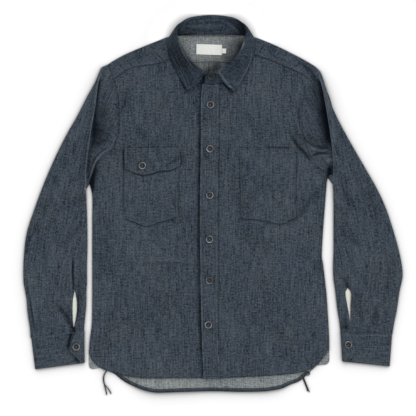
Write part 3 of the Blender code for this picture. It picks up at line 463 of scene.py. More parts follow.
# Painted shade and highlights on the collar, and painted shadow beside it on the pieces that it shades
COLLAR_TONES = (
    (0, 27, 0.5, (-81, 714), (-68, 682), (-54, 654)),
    (0, 1.1, -0.16, (-67, 724), (-56, 696), (-38, 668), (-24, 655)),
    (0, 5, 0.6, (-65, 730), (-52, 695), (-34, 666), (-19, 650)),
    (0, 1.6, 0.5, (-71, 683), (-53, 648), (-42, 621)),
    (0, 1.5, 0.4, (-63, 683), (-44, 646), (-36, 625)),
    (0, 1.5, 0.4, (-54, 674), (-38, 646), (-30, 631)),
    (0, 1.2, -0.08, (-80, 695), (-73, 679), (-56, 650), (-44, 617)),
    (0, 1.7, -0.62, (70, 726), (67.5, 706), (50.5, 685), (32, 667), (20, 655)),
    (0, 1.1, -0.36, (18, 655), (35, 632), (51, 613)),
    (0, 1.2, -0.18, (55, 619), (76, 658), (85, 684), (85, 701)),
    (0, 1.4, 0.3, (48, 625), (70, 662), (78, 685), (78, 703)),
    (0, 2.6, 0.2, (40, 650), (58, 674), (71, 695)),
    (0, 2.4, 0.85, (-67, 731), (-1, 729), (71, 731)),
    (0, 8, 0.85, (54, 767), (67, 750), (72, 726)),
    (0, 3, 0.6, (36, 762), (54, 749), (67, 732)),
    (0, 1.8, -0.1, (30, 758), (48, 746), (60, 734)),
    (0, 4, 0.5, (-56, 758), (-63, 744), (-65, 728)),
    (0, 2.2, 0.4, (-52, 742), (-13, 738), (30, 741)),
    (0, 2, 0.3, (-40, 752), (1, 757), (34, 752)),
    (0, 1.6, -0.07, (-46, 747), (-7, 746), (26, 748)),
    (0, 3, 0.8, (-7, 651), (5, 653), (15, 650)),
    (0, 3.6, 0.9, (-13, 650), (-13, 638), (-15, 627)),
    (0, 7, 0.4, (-9, 646), (5, 646), (17, 645)),
    (0, 1.3, -0.45, (-7, 653), (3, 657), (14, 658)),
)
COLLAR_SHADE = (
    (0, 3.2, 1.0, (-86, 702), (-79, 682), (-63, 652), (-45, 609)),
    (0, 3.4, 1.0, (12, 654), (30, 631), (48, 609)),
    (0, 2.0, 0.45, (58, 615), (79, 656), (89, 683), (88, 699)),
    (0, 4.5, 0.9, (-12, 648), (-14, 638), (-15, 625)),
    (0, 1.4, -0.25, (-8, 638), (5, 636), (19, 638)),
)
# Painted shadow beside the pockets' and the flap's edges, and one painted highlight line
POCKET_LINES = (
    (0, 1.4, 0.85, (114, 500), (140, 499), (167, 499)),
    (0, 2.2, 0.45, (63, 494), (63, 433), (64, 359)),
    (0, 1.5, 0.3, (129, 478), (129, 433), (129, 392)),
    (0, 1.8, 0.2, (178, 494), (178, 433), (177, 371)),
    (0, 1.2, -0.22, (167, 474), (147, 474), (130, 474)),
    (0, 1.8, 0.95, (-176, 499), (-176, 474), (-176, 448)),
    (0, 1.8, 0.3, (-176, 452), (-177, 392)),
    (0, 1.5, 0.35, (-151, 499), (-126, 499), (-101, 499)),
    (0, 1.6, 0.5, (-61, 490), (-57, 469), (-63, 457)),
    (0, 9, 0.18, (-168, 492), (-166, 458)),
    (0, 2.4, 0.3, (-70, 489), (-67, 466)),
)
# Where the collar shades the yoke inside the neck
NECK_TONES = (
    (0, 9, 0.75, (65, 728), (63, 699), (46, 674), (26, 658)),
    (0, 26, 0.58, (60, 722), (50, 691), (28, 666)),
    (0, 5, 0.6, (-69, 728), (-60, 707), (-40, 679), (-19, 662)),
    (0, 12, 0.8, (-16, 652), (4, 657), (28, 672)),
    (0, 24, 0.25, (-20, 662), (4, 665), (26, 672)),
    (0, 6, 1.0, (-26, 634), (2, 636), (32, 632)),
    (0, 2.6, 0.8, (-69, 728), (-1, 729), (67, 728)),
)

# Buttons: x, y
PLACKET_BUTTONS = ((2, 586.5), (1, 496.5), (0.5, 401.3), (0, 311.2), (-0.3, 226.8), (-2.4, 135.8))
COLLAR_BUTTON = (3, 645)
FLAP_BUTTON = (-137.5, 462)
CUFF_BUTTONS = ((-273, 90.8), (284.3, 95))
BUTTON_RADIUS = 8.25
# How far above the cloth a button lies, in metres
BUTTON_CLEAR = 0.0001
# Stitches: the length of each with its gap, and how far rows lie from hems, seams, edges and the strip's edges
STITCH_PITCH = 2.9
HEM_STITCHES, SEAM_STITCHES, EDGE_STITCHES, STRIP_STITCHES = 5.5, (2.2, 6.2), 3.2, 4.4
# Rows of stitches on the collar, and the loose threads at the back hem's corners
COLLAR_STITCHING = (
    ((-75, 700), (-66, 678), (-52, 650), (-42, 628), (-40.5, 621)),
    ((-36, 628), (-28, 641), (-20, 652)),
    ((82, 700), (80, 684), (72, 661), (60, 638), (52, 624)),
    ((48, 620), (38, 634), (25, 650)),
    ((-9, 642), (4, 643), (17, 641)),
    ((-48, 746), (-8, 750), (32, 748)),
)
TAIL_RADIUS, TAIL_START = 0.95, 2.6
THREAD_TAILS = (
    ((-211, 42), (-216, 33), (-217, 26), (-216, 18), (-214, 8), (-211, -4), (-211, -8)),
    ((-212, 41), (-217, 30), (-216, 16), (-208, 6), (-202, -4), (-202, -6)),
    ((192, 30), (195, 22), (199, 12), (204, 0), (205, -2)),
    ((190, 32), (194, 20), (199, 8), (201, 0)),
    ((196, 41), (200, 42), (205, 38), (203, 33), (197, 32)),
)


# Curves and grids

CURVE_CELLS, NOISE_CELLS = 12, 256


def smooth(t):
    """A share from 0 to 1 that starts and ends softly."""
    t = np.clip(t, 0, 1)
    return t * t * (3 - 2 * t)


def lerp(a, b, t):
    return a + (b - a) * t


def point(x, y, z=0.0):
    return np.array((x, y, z), float)


def unit(v):
    return v / max(np.linalg.norm(v), 1e-9)


def plan(v):
    """The same places on the surface."""
    return v * (1, 1, 0)


def in_plan(points):
    """Points on the surface, as one path."""
    return np.array([point(*p[:2]) for p in points])


def bell(far, half_width):
    """A share that falls from 1 on a line towards 0 on both sides of it."""
    return np.exp(-((far / half_width) ** 2))


def ridge(far, rise, place, half_width):
    """A soft ridge that runs at one distance from an edge."""
    return rise * bell(far - place, half_width)


def side_rows(rows, side):
    """One side's path out of a table that holds both."""
    return np.array([(*row[2 * side : 2 * side + 2], 0) for row in rows], float)


def lengths(path):
    """The share of a path's length at each of its points."""
    runs = np.linalg.norm(np.diff(path, axis=0), axis=1)
    return np.concatenate(((0,), np.cumsum(runs))) / runs.sum()


def at(path, shares):
    """The points that lie these shares of the way along a path."""
    places = lengths(path)
    return np.stack([np.interp(shares, places, column) for column in path.T], axis=-1)


def curve(path, steps=None, shares=None):
    """A smooth curve through the points, read at even places or at these shares of its length."""
    path = np.asarray(path, float)
    ends = np.vstack((2 * path[0] - path[1], path, 2 * path[-1] - path[-2]))
    t = np.linspace(0, 1, CURVE_CELLS, endpoint=False)[:, None]
    fine = []
    for a, b, c, d in zip(ends, ends[1:], ends[2:], ends[3:]):
        fine.append(
            0.5 * (2 * b + (c - a) * t + (2 * a - 5 * b + 4 * c - d) * t**2 + (3 * b - a - 3 * c + d) * t**3)
        )
    fine = np.vstack(fine + [path[-1:]])
    return at(fine, np.linspace(0, 1, steps + 1) if shares is None else shares)


def edged(steps, length, edge=1.0):
    """Even shares of a length, with one more close to each end, so that the cloth's edges turn over softly."""
    near = edge / length
    return np.concatenate(((0,), np.linspace(near, 1 - near, steps - 1), (1,)))


def nearest(path, xy):
    """The distance in plan from a path, the place along it in millimetres, and its height there."""
    path = np.asarray(path, float)
    a, run = path[:-1], np.diff(path, axis=0)
    size = np.maximum((run[:, :2] ** 2).sum(1), 1e-9)
    starts = np.concatenate(((0,), np.cumsum(np.sqrt(size))))
    flat = np.asarray(xy, float)[..., :2].reshape(-1, 1, 2)
    t = np.clip(((flat - a[:, :2]) * run[:, :2]).sum(-1) / size, 0, 1)
    off = a[:, :2] + run[:, :2] * t[..., None] - flat
    far = np.hypot(off[..., 0], off[..., 1])
    best = far.argmin(1)
    rows = np.arange(len(flat))
    t = t[rows, best]
    along = starts[best] + t * np.sqrt(size[best])
    height = a[best, 2] + run[best, 2] * t if path.shape[1] > 2 else along * 0
    shape = np.shape(xy)[:-1]
    return far[rows, best].reshape(shape), along.reshape(shape), height.reshape(shape)


def moved(path, distance):
    """The path moved sideways in plan, to the left of its run."""
    run = np.vstack((path[1:2] - path[0], path[2:] - path[:-2], path[-1:] - path[-2]))
    run = run / np.maximum(np.hypot(run[:, 0], run[:, 1]), 1e-9)[:, None]
    return path + distance * np.stack((-run[:, 1], run[:, 0], 0 * run[:, 0]), axis=1)


def coons(bottom, top, left, right, across=None):
    """A grid that fills the four edges of a panel."""
    u = np.linspace(0, 1, len(bottom)) if across is None else across
    u, v = u[None, :, None], lengths(left)[:, None, None]
    corners = lerp(lerp(bottom[0], bottom[-1], u), lerp(top[0], top[-1], u), v)
    return lerp(left[:, None], right[:, None], u) + lerp(bottom[None], top[None], v) - corners


def refined(grid, counts, axis=0, closed=False):
    """A grid with its cells cut along one axis, on smooth curves through its points."""
    grid = np.moveaxis(np.asarray(grid, float), axis, 0)
    if closed:
        after = np.roll(grid, -1, axis=0) - grid
    else:
        after = np.diff(grid, axis=0)
    span = np.sqrt(np.maximum(np.linalg.norm(after[..., :3], axis=-1, keepdims=True), 1e-6))
    speed = after / span
    if closed:
        before, low = np.roll(speed, 1, axis=0), np.roll(span, 1, axis=0)
        slope = (before * span + speed * low) / (span + low)
        slope_end, end = np.roll(slope, -1, axis=0), np.roll(grid, -1, axis=0)
    else:
        inner = (speed[:-1] * span[1:] + speed[1:] * span[:-1]) / (span[1:] + span[:-1])
        if len(speed) > 1:
            first, last = 1.5 * speed[:1] - 0.5 * inner[:1], 1.5 * speed[-1:] - 0.5 * inner[-1:]
        else:
            first = last = speed
        slopes = np.concatenate((first, inner, last))
        slope, slope_end, end = slopes[:-1], slopes[1:], grid[1:]
    cells = len(after)
    counts = [counts] * cells if isinstance(counts, int) else counts
    found = []
    for i in range(cells):
        for t in np.arange(counts[i]) / counts[i]:
            found.append(
                (2 * t**3 - 3 * t**2 + 1) * grid[i]
                + (t**3 - 2 * t**2 + t) * span[i] * slope[i]
                + (3 * t**2 - 2 * t**3) * end[i]
                + (t**3 - t**2) * span[i] * slope_end[i]
            )
    if not closed:
        found.append(grid[-1])
    return np.moveaxis(np.array(found), 0, axis)


def lattice(places, cell, seed):
    """Soft noise from -1 to 1 with a given cell, along one axis or over a plane."""
    places = np.asarray(places, float) / cell
    table = np.random.default_rng(seed).uniform(-1, 1, (NOISE_CELLS, NOISE_CELLS))
    if places.ndim < 2 or places.shape[-1] != 2:
        places = np.stack((places, np.zeros_like(places)), axis=-1)
    low = np.floor(places).astype(int)
    t = smooth(places - low)
    x, y = low[..., 0] % NOISE_CELLS, low[..., 1] % NOISE_CELLS
    x2, y2 = (x + 1) % NOISE_CELLS, (y + 1) % NOISE_CELLS
    return lerp(lerp(table[x, y], table[x2, y], t[..., 0]), lerp(table[x, y2], table[x2, y2], t[..., 0]), t[..., 1])


def waves(rows, xy):
    """The sum of some rows of soft noise."""
    return sum(rise * lattice(xy[..., :2], cell, seed) for rise, cell, seed in rows)


def folds(rows, xy):
    """What the rows of a table add at each place: height, painted shade and painted highlight."""
    shape = np.shape(xy)[:-1]
    xy = np.asarray(xy, float)[..., :2].reshape(-1, 2)
    height, light, tint_and_highlight = np.zeros(len(xy)), np.ones(len(xy)), np.zeros(len(xy))
    for rise, half_width, tone, *path in rows:
        path = curve(np.array(path, float), 10) if len(path) > 2 else np.array(path, float)
        low, high = path.min(0) - FOLD_REACH * half_width, path.max(0) + FOLD_REACH * half_width
        near = np.flatnonzero(((xy > low) & (xy < high)).all(1))
        if not len(near):
            continue
        far, along, _ = nearest(path, xy[near])
        run = np.linalg.norm(np.diff(path, axis=0), axis=1).sum()
        ends = np.minimum(along, run - along) / run
        share = bell(far, half_width) * smooth(FOLD_ENDS + FOLD_GROWTH * ends)
        height[near] += rise * share
        light[near] *= 1 - max(tone, 0) * share
        tint_and_highlight[near] = np.maximum(tint_and_highlight[near], max(-tone, 0) * share)
    return height.reshape(shape), (1 - light).reshape(shape), tint_and_highlight.reshape(shape)


def joined_tones(*tones):
    """Dark tones laid over each other."""
    light = 1.0
    for tone in tones:
        light = light * (1 - tone)
    return 1 - light


# The shirt's seams, edges and heights


def collar_point(side, entry):
    """A point of the collar, from how far out it lies from the collar's middle."""
    return point(COLLAR_X + OUTWARD[side] * entry[0], entry[1], entry[2])


def neck_rows(side, limit=None):
    """The neck's seam from the back to the front, no higher than the limit."""
    found = []
    for row in COLLAR + STAND_ENDS:
        out, y, *heights = row[0]
        height = heights[side] if limit is None else min(heights[side], limit)
        found.append(collar_point(side, (out, y, height)))
    return np.array(found)


ARMHOLES = [side_rows(ARMHOLE, side) for side in (LEFT, RIGHT)]
NECKS = [neck_rows(side, FRONT_NECK_LIMIT) for side in (LEFT, RIGHT)]


def neck_edge(side):
    """The cloth's edge beside the stand: inside it at the back and outside it from the shoulder to the front."""
    edge = moved(NECKS[side], (-NECK_GAP, NECK_GAP)[side])
    for row, gap in enumerate(BACK_NECK_GAP):
        edge[row] = NECKS[side][row] - point(0, gap)
    edge[NECK_POINT_ROW] = NECKS[side][NECK_POINT_ROW] + point(OUTWARD[side] * NECK_TURN, 0)
    return edge


NECK_EDGES = [neck_edge(side) for side in (LEFT, RIGHT)]


def side_edge(side, steps=12):
    """The side seam from the hem up to the armhole's lowest point."""
    seam = np.vstack((side_rows(SIDE_SEAM, side), lerp(ARMHOLES[side][-1], ARMHOLES[side][-2], 0.26)))
    return curve(seam, steps)


def shoulder_fold(side, steps=YOKE_STEPS):
    """The fold over the shoulder, from the armhole to the neck."""
    path = np.vstack((ARMHOLES[side][0], side_rows(SHOULDER, side), plan(NECK_EDGES[side][NECK_POINT_ROW])))
    return curve(path, steps)


def yoke_front_seam(side, steps=YOKE_STEPS):
    """The seam between the yoke and a front, from the armhole to the neck."""
    hole = ARMHOLES[side][FRONT_YOKE_ROW]
    return curve(np.vstack((hole, side_rows(YOKE_SEAM, side), plan(NECK_EDGES[side][YOKE_NECK_ROW]))), steps)


SIDE_EDGES = [side_edge(side) for side in (LEFT, RIGHT)]
SHOULDERS = [shoulder_fold(side) for side in (LEFT, RIGHT)]
OUTLINES = [np.vstack((SIDE_EDGES[side], ARMHOLES[side][-2::-1], SHOULDERS[side][1:])) for side in (LEFT, RIGHT)]


def front_height(side, xy):
    """The mid-height of a front, or of the yoke's front, at each place."""
    inside = smooth(nearest(OUTLINES[side], xy)[0] / EDGE_RISE)
    full = FRONT_MID
    if side == RIGHT:
        full = full + LAYER * (1 - smooth((xy[..., 0] - LAP_END) / LAP_FALL))
    relief = folds(BODY_FOLDS + ARM_FOLDS, xy)[0]
    relief += waves(FRONT_WAVES, xy)
    height = lerp(EDGE_MID, full, inside) + inside * relief
    far, _, seam = nearest(NECKS[side][NECK_POINT_ROW:], xy)
    return lerp(seam, height, smooth(far / NECK_RISE))


def beside(path, distance, half_width, tone):
    """A row of painted shade beside a path, on its left side as it runs."""
    return (0, half_width, tone, *moved(in_plan(path), distance)[:, :2])


def pocket_tones(side, strengths):
    """The shade beside a pocket's three sewn edges."""
    (left, right), lower = POCKET[side]
    return (
        beside((left, lower[0]), -1.2, 1.8, strengths[0]),
        beside(lower, -1.2, 1.9, strengths[1]),
        beside((right, lower[-1]), 1.2, 1.8, strengths[2]),
    )


def front_tones(side, xy, sewn=True):
    """The painted shade and highlights of a front's folds, and the painted shade beside the pieces sewn on it."""
    _, dark, tint_and_highlight = folds(BODY_FOLDS + ARM_FOLDS + COLLAR_SHADE + POCKET_LINES, xy)
    if sewn:
        uneven = SHADE_MEAN + SHADE_VARIES * lattice(xy[..., :2], SHADE_CELL, SHADE_SEED)
        strip = [(left, y) for y, left, _ in PLACKET], [(right, y) for y, _, right in PLACKET]
        ends = (-16, -40), (-16, 660), (22, -40), (20, 660)
        if side == LEFT:
            rows = (beside([ends[0], *strip[0], ends[1]], *STRIP_SHADE),) + pocket_tones(LEFT, (0.3, 0.6, 0.3))
        else:
            rows = (beside([ends[2], *strip[1], ends[3]], *STRIP_FAR_SHADE),) + pocket_tones(RIGHT, (0.2, 0.6, 0.2))
        rows += ((0, *YOKE_SEAM_SHADE, *yoke_front_seam(side, SEAM_STEPS)[:, :2]),)
        dark = joined_tones(dark, folds(rows, xy)[1] * uneven)
    return dark, tint_and_highlight


def back_height(xy):
    """The mid-height of the yoke's back, which rises to the collar."""
    far = np.minimum(*(nearest(NECKS[side][: NECK_POINT_ROW + 1], xy)[0] for side in (LEFT, RIGHT)))
    return lerp(BACK_NECK_MID, FLOOR_MID, smooth(far / BACK_NECK_RISE))


def placket_edges(y):
    """Where the button strip's edges lie at each height of the shirt."""
    table = np.array(PLACKET, float)
    return np.interp(y, table[:, 0], table[:, 1]), np.interp(y, table[:, 0], table[:, 2])


def with_heights(grid, height):
    grid = np.array(grid, float)
    grid[..., 2] = height
    return grid


# Making the pieces

MATERIALS = {}
BLACK, WHITE = (0.0, 0.0, 0.0, 1), (1.0, 1.0, 1.0, 1)
made = {}


def own(obj, *slots):
    """Give an object its materials."""
    for name in slots:
        obj.data.materials.append(MATERIALS[name])
    return obj


def linked(name, data):
    """A new object in the scene."""
    obj = bpy.data.objects.new(name, data)
    bpy.context.scene.collection.objects.link(obj)
    return obj


def ready(obj, slot, *nodes):
    """Hand a finished piece to the frame, in place of these nodes."""
    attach(obj, "root")
    if nodes:
        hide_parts(*nodes)
    made[obj.name] = obj
    return obj


def apply_modifiers(obj):
    """Apply all of an object's modifiers, with nothing else selected."""
    bpy.ops.object.select_all(action="DESELECT")
    bpy.context.view_layer.objects.active = obj
    obj.select_set(True)
    for modifier in list(obj.modifiers):
        bpy.ops.object.modifier_apply(modifier=modifier.name)
    obj.select_set(False)


def cloth(node, slot, grid, face, back, grain=None, thickness=CLOTH, ring=False, left_out=None, up=True, marks=None):
    """A wall of cloth through a grid of points, in place of a node. Its face side looks up, unless up is False, and
    its UV map runs along the grain in metres. marks are shares from 0 to 1 that the materials read at each point."""
    name = node + "_cloth"
    rows, columns = grid.shape[:2]
    if grain is None:
        grain = grid[..., :2]
    if ring and grain.shape[1] == columns:
        grain = np.concatenate((grain, grain[:, :1]), axis=1)
    verts = grid[..., :3].reshape(-1, 3)
    verts[:, 2] = np.maximum(verts[:, 2], thickness / 2)
    verts = (verts - MIDDLE) * MM
    j, i = np.mgrid[0 : rows - 1, 0 : columns if ring else columns - 1]
    k = (i + 1) % columns
    quads = np.stack((j * columns + i, j * columns + k, (j + 1) * columns + k, (j + 1) * columns + i), axis=-1)
    corners = np.stack((grain[j, i], grain[j, i + 1], grain[j + 1, i + 1], grain[j + 1, i]), axis=-2)
    keep = np.ones(j.shape, bool) if left_out is None else ~left_out
    quads, corners = quads[keep], corners[keep]
    across, down = verts[quads[:, 2]] - verts[quads[:, 0]], verts[quads[:, 3]] - verts[quads[:, 1]]
    normal = np.cross(across, down)
    upper = verts[quads].mean(1)[:, 2] >= np.median(verts[quads].mean(1)[:, 2])
    if (normal[upper, 2].sum() > 0) != up:
        quads, corners = quads[:, ::-1], corners[:, ::-1]
    used = np.unique(quads)
    number = np.zeros(len(verts), int)
    number[used] = np.arange(len(used))
    mesh = bpy.data.meshes.new(name)
    mesh.from_pydata(verts[used].tolist(), [], number[quads].tolist())
    layer = mesh.uv_layers.new(name="grain")
    layer.data.foreach_set("uv", (corners.reshape(-1, 2) * MM).astype(np.float32).ravel())
    # The marks: painted shade, and a tint that is partly painted highlight
    for mark in ("shade", "tint_and_highlight"):
        values = np.zeros(grid.shape[:2]) if marks is None or mark not in marks else marks[mark]
        attribute = mesh.attributes.new(mark, "FLOAT", "POINT")
        attribute.data.foreach_set("value", np.asarray(values, np.float32).ravel()[used])
    mesh.shade_smooth()
    obj = own(linked(name, mesh), face, back)
    wall = obj.modifiers.new("wall", "SOLIDIFY")
    wall.thickness = thickness * MM
    wall.offset = 0
    wall.material_offset = 1
    apply_modifiers(obj)
    return ready(obj, slot, node)


def border_marks(grid, reach=1.6):
    """How near each point of a grid lies to the piece's border, from 1 at the border to 0."""
    border = np.vstack((grid[0], grid[1:, -1], grid[-1, -2::-1], grid[-2::-1, 0]))
    far = nearest(border, grid)[0]
    return bell(far, reach), far


def edge_marks(grid, dark=0.5, tint_and_highlight=0.3, inset=1.7, seed=0):
    """Marks that paint shade on a piece's very edge and pale the ridge beside it unevenly, partly as a painted
    highlight and partly as a rubbed edge.
    """
    near, far = border_marks(grid)
    broken = np.clip(0.6 + 0.6 * lattice(grid[..., :2], 6, 40 + seed), 0, 1)
    return {"shade": dark * near, "tint_and_highlight": tint_and_highlight * broken * bell(far - inset, 0.9)}


def run_lengths(grid, axis):
    """How far each point of a grid lies along its own row or column."""
    runs = np.linalg.norm(np.diff(grid[..., :3], axis=axis), axis=-1)
    total = np.cumsum(runs, axis=axis)
    return np.concatenate((np.zeros_like(np.take(total, [0], axis=axis)), total), axis=axis)


def grain_along(grid):
    """Threads that run along a piece's length, as in the collar and the cuffs."""
    return np.stack((-run_lengths(grid, 0), run_lengths(grid, 1)), axis=-1)


# Materials


def node_of(tree, kind, settings=None, **inputs):
    node = tree.nodes.new(kind)
    for name, value in (settings or {}).items():
        setattr(node, name, value)
    feed(tree, node, **inputs)
    return node


def put(tree, socket, value):
    """Link a socket, or set it where the value is plain."""
    if isinstance(value, bpy.types.NodeSocket):
        tree.links.new(value, socket)
    else:
        socket.default_value = value


def feed(tree, node, **inputs):
    for name, value in inputs.items():
        put(tree, node.inputs[name.replace("_", " ")], value)


def math_of(tree, operation, *values):
    node = node_of(tree, "ShaderNodeMath", {"operation": operation})
    for socket, value in zip(node.inputs, values):
        put(tree, socket, value)
    return node.outputs[0]


def vector_math(tree, operation, *values):
    node = node_of(tree, "ShaderNodeVectorMath", {"operation": operation})
    for socket, value in zip(node.inputs, values):
        put(tree, socket, value)
    return node.outputs["Value" if operation == "LENGTH" else "Vector"]


def stretched(tree, vector, x, y, z=1.0):
    return vector_math(tree, "MULTIPLY", vector, (x, y, z))


def noise_of(tree, vector, scale, detail=2.0, roughness=0.5):
    node = node_of(tree, "ShaderNodeTexNoise", Vector=vector, Scale=scale, Detail=detail, Roughness=roughness)
    return node.outputs["Fac"]


def colour_mix(tree, amount, first, second, blend="MIX"):
    node = node_of(tree, "ShaderNodeMix", {"data_type": "RGBA", "blend_type": blend})
    for socket, value in ((0, amount), (6, first), (7, second)):
        put(tree, node.inputs[socket], value)
    return node.outputs[2]


def new_group(name, inputs, outputs):
    tree = bpy.data.node_groups.new(name, "ShaderNodeTree")
    for label, kind, value in inputs:
        socket = tree.interface.new_socket(label, in_out="INPUT", socket_type=kind)
        if value is not None:
            socket.default_value = value
    for label, kind in outputs:
        tree.interface.new_socket(label, in_out="OUTPUT", socket_type=kind)
    return tree, tree.nodes.new("NodeGroupInput").outputs, tree.nodes.new("NodeGroupOutput").inputs


# Uneven threads, from noise: how it is stretched across and along the grain, its scale, roughness and weight
THREAD_NOISE = (
    (1, 0.07, 420, 0.55, 1.5),
    (1, 0.05, 140, 0.5, 0.3),
    (1, 0.5, 70, 0.5, 0.45),
    (0.18, 1, 400, 0.5, 1.1),
    (1, 1, 290, 0.5, 1.9),
)
TWILL_ANGLE, TWILL_SCALE = math.radians(27), 330


def twill_group():
    """Slubbed threads and the fine twill rib, from coordinates in metres along the grain."""
    tree, given, result = new_group(
        "slub twill",
        [("Grain", "NodeSocketVector", None), ("Slub", "NodeSocketFloat", 1.0), ("Cloud", "NodeSocketFloat", 1.0)],
        [("Tone", "NodeSocketFloat"), ("Height", "NodeSocketFloat")],
    )
    grain = given["Grain"]
    threads = 0.0
    for across, along, scale, roughness, weight in THREAD_NOISE:
        noise = noise_of(tree, stretched(tree, grain, across, along), scale, 2.0, roughness)
        threads = math_of(tree, "MULTIPLY_ADD", math_of(tree, "SUBTRACT", noise, 0.5), weight, threads)
    threads = math_of(tree, "MULTIPLY", threads, given["Slub"])
    cloud = noise_of(tree, grain, 9)
    clouds = math_of(tree, "MULTIPLY", math_of(tree, "SUBTRACT", cloud, 0.5), given["Cloud"])
    tone = math_of(tree, "ADD", math_of(tree, "ADD", threads, clouds), 0.5)
    tree.links.new(tone, result["Tone"])
    turned = node_of(tree, "ShaderNodeVectorRotate", {"rotation_type": "Z_AXIS"}, Vector=grain, Angle=TWILL_ANGLE)
    rib = node_of(tree, "ShaderNodeTexWave", {"bands_direction": "X"}, Vector=turned.outputs[0], Scale=TWILL_SCALE)
    tree.links.new(math_of(tree, "MULTIPLY_ADD", rib.outputs["Fac"], 0.35, tone), result["Height"])
    return tree


def painted_shade_group():
    """Cloth colour with painted shade where one mark is high, mixed towards a tint where another is; the tint is
    partly painted highlight.
    """
    tree, given, result = new_group(
        "painted shade and tint",
        [
            ("Color", "NodeSocketColor", None),
            ("Shade", "NodeSocketFloat", 0.0),
            ("Worn", "NodeSocketFloat", 0.0),
            ("Worn Color", "NodeSocketColor", None),
        ],
        [("Color", "NodeSocketColor")],
    )
    # Painted shade: the colour is multiplied towards deep navy
    dark = colour_mix(tree, given["Shade"], given["Color"], (0.045, 0.065, 0.10, 1), "MULTIPLY")
    tree.links.new(colour_mix(tree, given["Worn"], dark, given["Worn Color"]), result["Color"])
    return tree


def marked(tree, name):
    settings = {"attribute_type": "GEOMETRY", "attribute_name": name}
    return node_of(tree, "ShaderNodeAttribute", settings).outputs["Fac"]


def new_material(name, roughness, sheen=0.0, gloss=0.25):
    material = bpy.data.materials.new(name)
    material.use_nodes = True
    shader = material.node_tree.nodes["Principled BSDF"]
    feed(material.node_tree, shader, Roughness=roughness, Specular_IOR_Level=gloss)
    if sheen:
        feed(material.node_tree, shader, Sheen_Weight=sheen, Sheen_Roughness=0.55)
    MATERIALS[name] = material
    return material.node_tree, shader


def denim(name, dark, light, tint_and_highlight, slub=0.85, cloud=0.5, relief=0.35, hue=1.0):
    """Slubbed denim between a dark and a light tone, with the painted shade and the tint of its marks."""
    tree, shader = new_material(name, 0.9, 0.008, 0.05)
    grain = node_of(tree, "ShaderNodeUVMap", {"uv_map": "grain"}).outputs[0]
    weave = node_of(tree, "ShaderNodeGroup", {"node_tree": TWILL}, Grain=grain, Slub=slub, Cloud=cloud)
    base = colour_mix(tree, weave.outputs["Tone"], (*dark, 1), (*light, 1))
    warm = math_of(tree, "MULTIPLY_ADD", noise_of(tree, grain, 14, 2.0, 0.6), 2.2 * hue, -0.6 * hue)
    base = colour_mix(tree, warm, base, (1.08, 1.0, 0.93, 1), "MULTIPLY")
    shaded_and_tinted = node_of(tree, "ShaderNodeGroup", {"node_tree": PAINTED_SHADE_AND_TINT}, Color=base, Worn_Color=(*tint_and_highlight, 1))
    feed(tree, shaded_and_tinted, Shade=marked(tree, "shade"), Worn=marked(tree, "tint_and_highlight"))
    rough = math_of(tree, "MULTIPLY_ADD", weave.outputs["Tone"], 0.12, 0.82)
    bump = node_of(tree, "ShaderNodeBump", Strength=relief, Distance=0.0004, Height=weave.outputs["Height"])
    feed(tree, shader, Base_Color=shaded_and_tinted.outputs[0], Roughness=rough, Normal=bump.outputs[0])


TWILL = twill_group()
PAINTED_SHADE_AND_TINT = painted_shade_group()
# The third colour of each is the tint that its marks mix in: on the face and the collar denim mostly a painted
# highlight, partly rubbed pale edges; on the self edge its own red line.
denim("denim face", (0.0072, 0.0132, 0.0228), (0.0745, 0.0950, 0.1210), (0.14, 0.18, 0.21))
denim("denim inside", (0.062, 0.079, 0.090), (0.315, 0.35, 0.365), (0.38, 0.41, 0.41), 0.7)
denim("collar denim", (0.0045, 0.0095, 0.017), (0.052, 0.073, 0.099), (0.25, 0.30, 0.34))
denim("pale self edge", (0.54, 0.56, 0.49), (0.76, 0.78, 0.70), (0.36, 0.09, 0.07), 0.6, 0.2, hue=0)
denim("woven label", (0.70, 0.705, 0.675), (0.84, 0.845, 0.81), (0.8, 0.8, 0.8), 0.35, 0.2, hue=0)


def thread(name, dark, light):
    """Twisted sewing thread."""
    tree, shader = new_material(name, 0.7, 0.05)
    spot = node_of(tree, "ShaderNodeTexCoord").outputs["Object"]
    ply = node_of(tree, "ShaderNodeTexWave", {"bands_direction": "DIAGONAL"}, Vector=spot, Scale=900, Distortion=1.5)
    tone = math_of(tree, "MULTIPLY_ADD", ply.outputs["Fac"], 0.5, noise_of(tree, spot, 220, 2.0, 0.6))
    tone = math_of(tree, "SUBTRACT", tone, 0.25)
    bump = node_of(tree, "ShaderNodeBump", Strength=0.3, Distance=0.0002, Height=ply.outputs["Fac"])
    rough = math_of(tree, "MULTIPLY_ADD", tone, 0.2, 0.6)
    base = colour_mix(tree, tone, (*dark, 1), (*light, 1))
    feed(tree, shader, Base_Color=base, Roughness=rough, Normal=bump.outputs[0])


thread("indigo thread", (0.018, 0.026, 0.042), (0.13, 0.16, 0.19))
thread("grey thread", (0.07, 0.08, 0.09), (0.28, 0.30, 0.32))
thread("pale thread", (0.45, 0.45, 0.42), (0.75, 0.75, 0.71))
thread("loose thread", (0.010, 0.005, 0.005), (0.038, 0.019, 0.018))


# The body


def back_seam(x):
    """The yoke's back seam, which drops towards the armholes."""
    share = (x - COLLAR_X) / (ARMHOLES[RIGHT][BACK_YOKE_ROW][0] - COLLAR_X)
    return point(x, BACK_SEAM_Y - BACK_SEAM_DROP * share**2, FLOOR_MID)


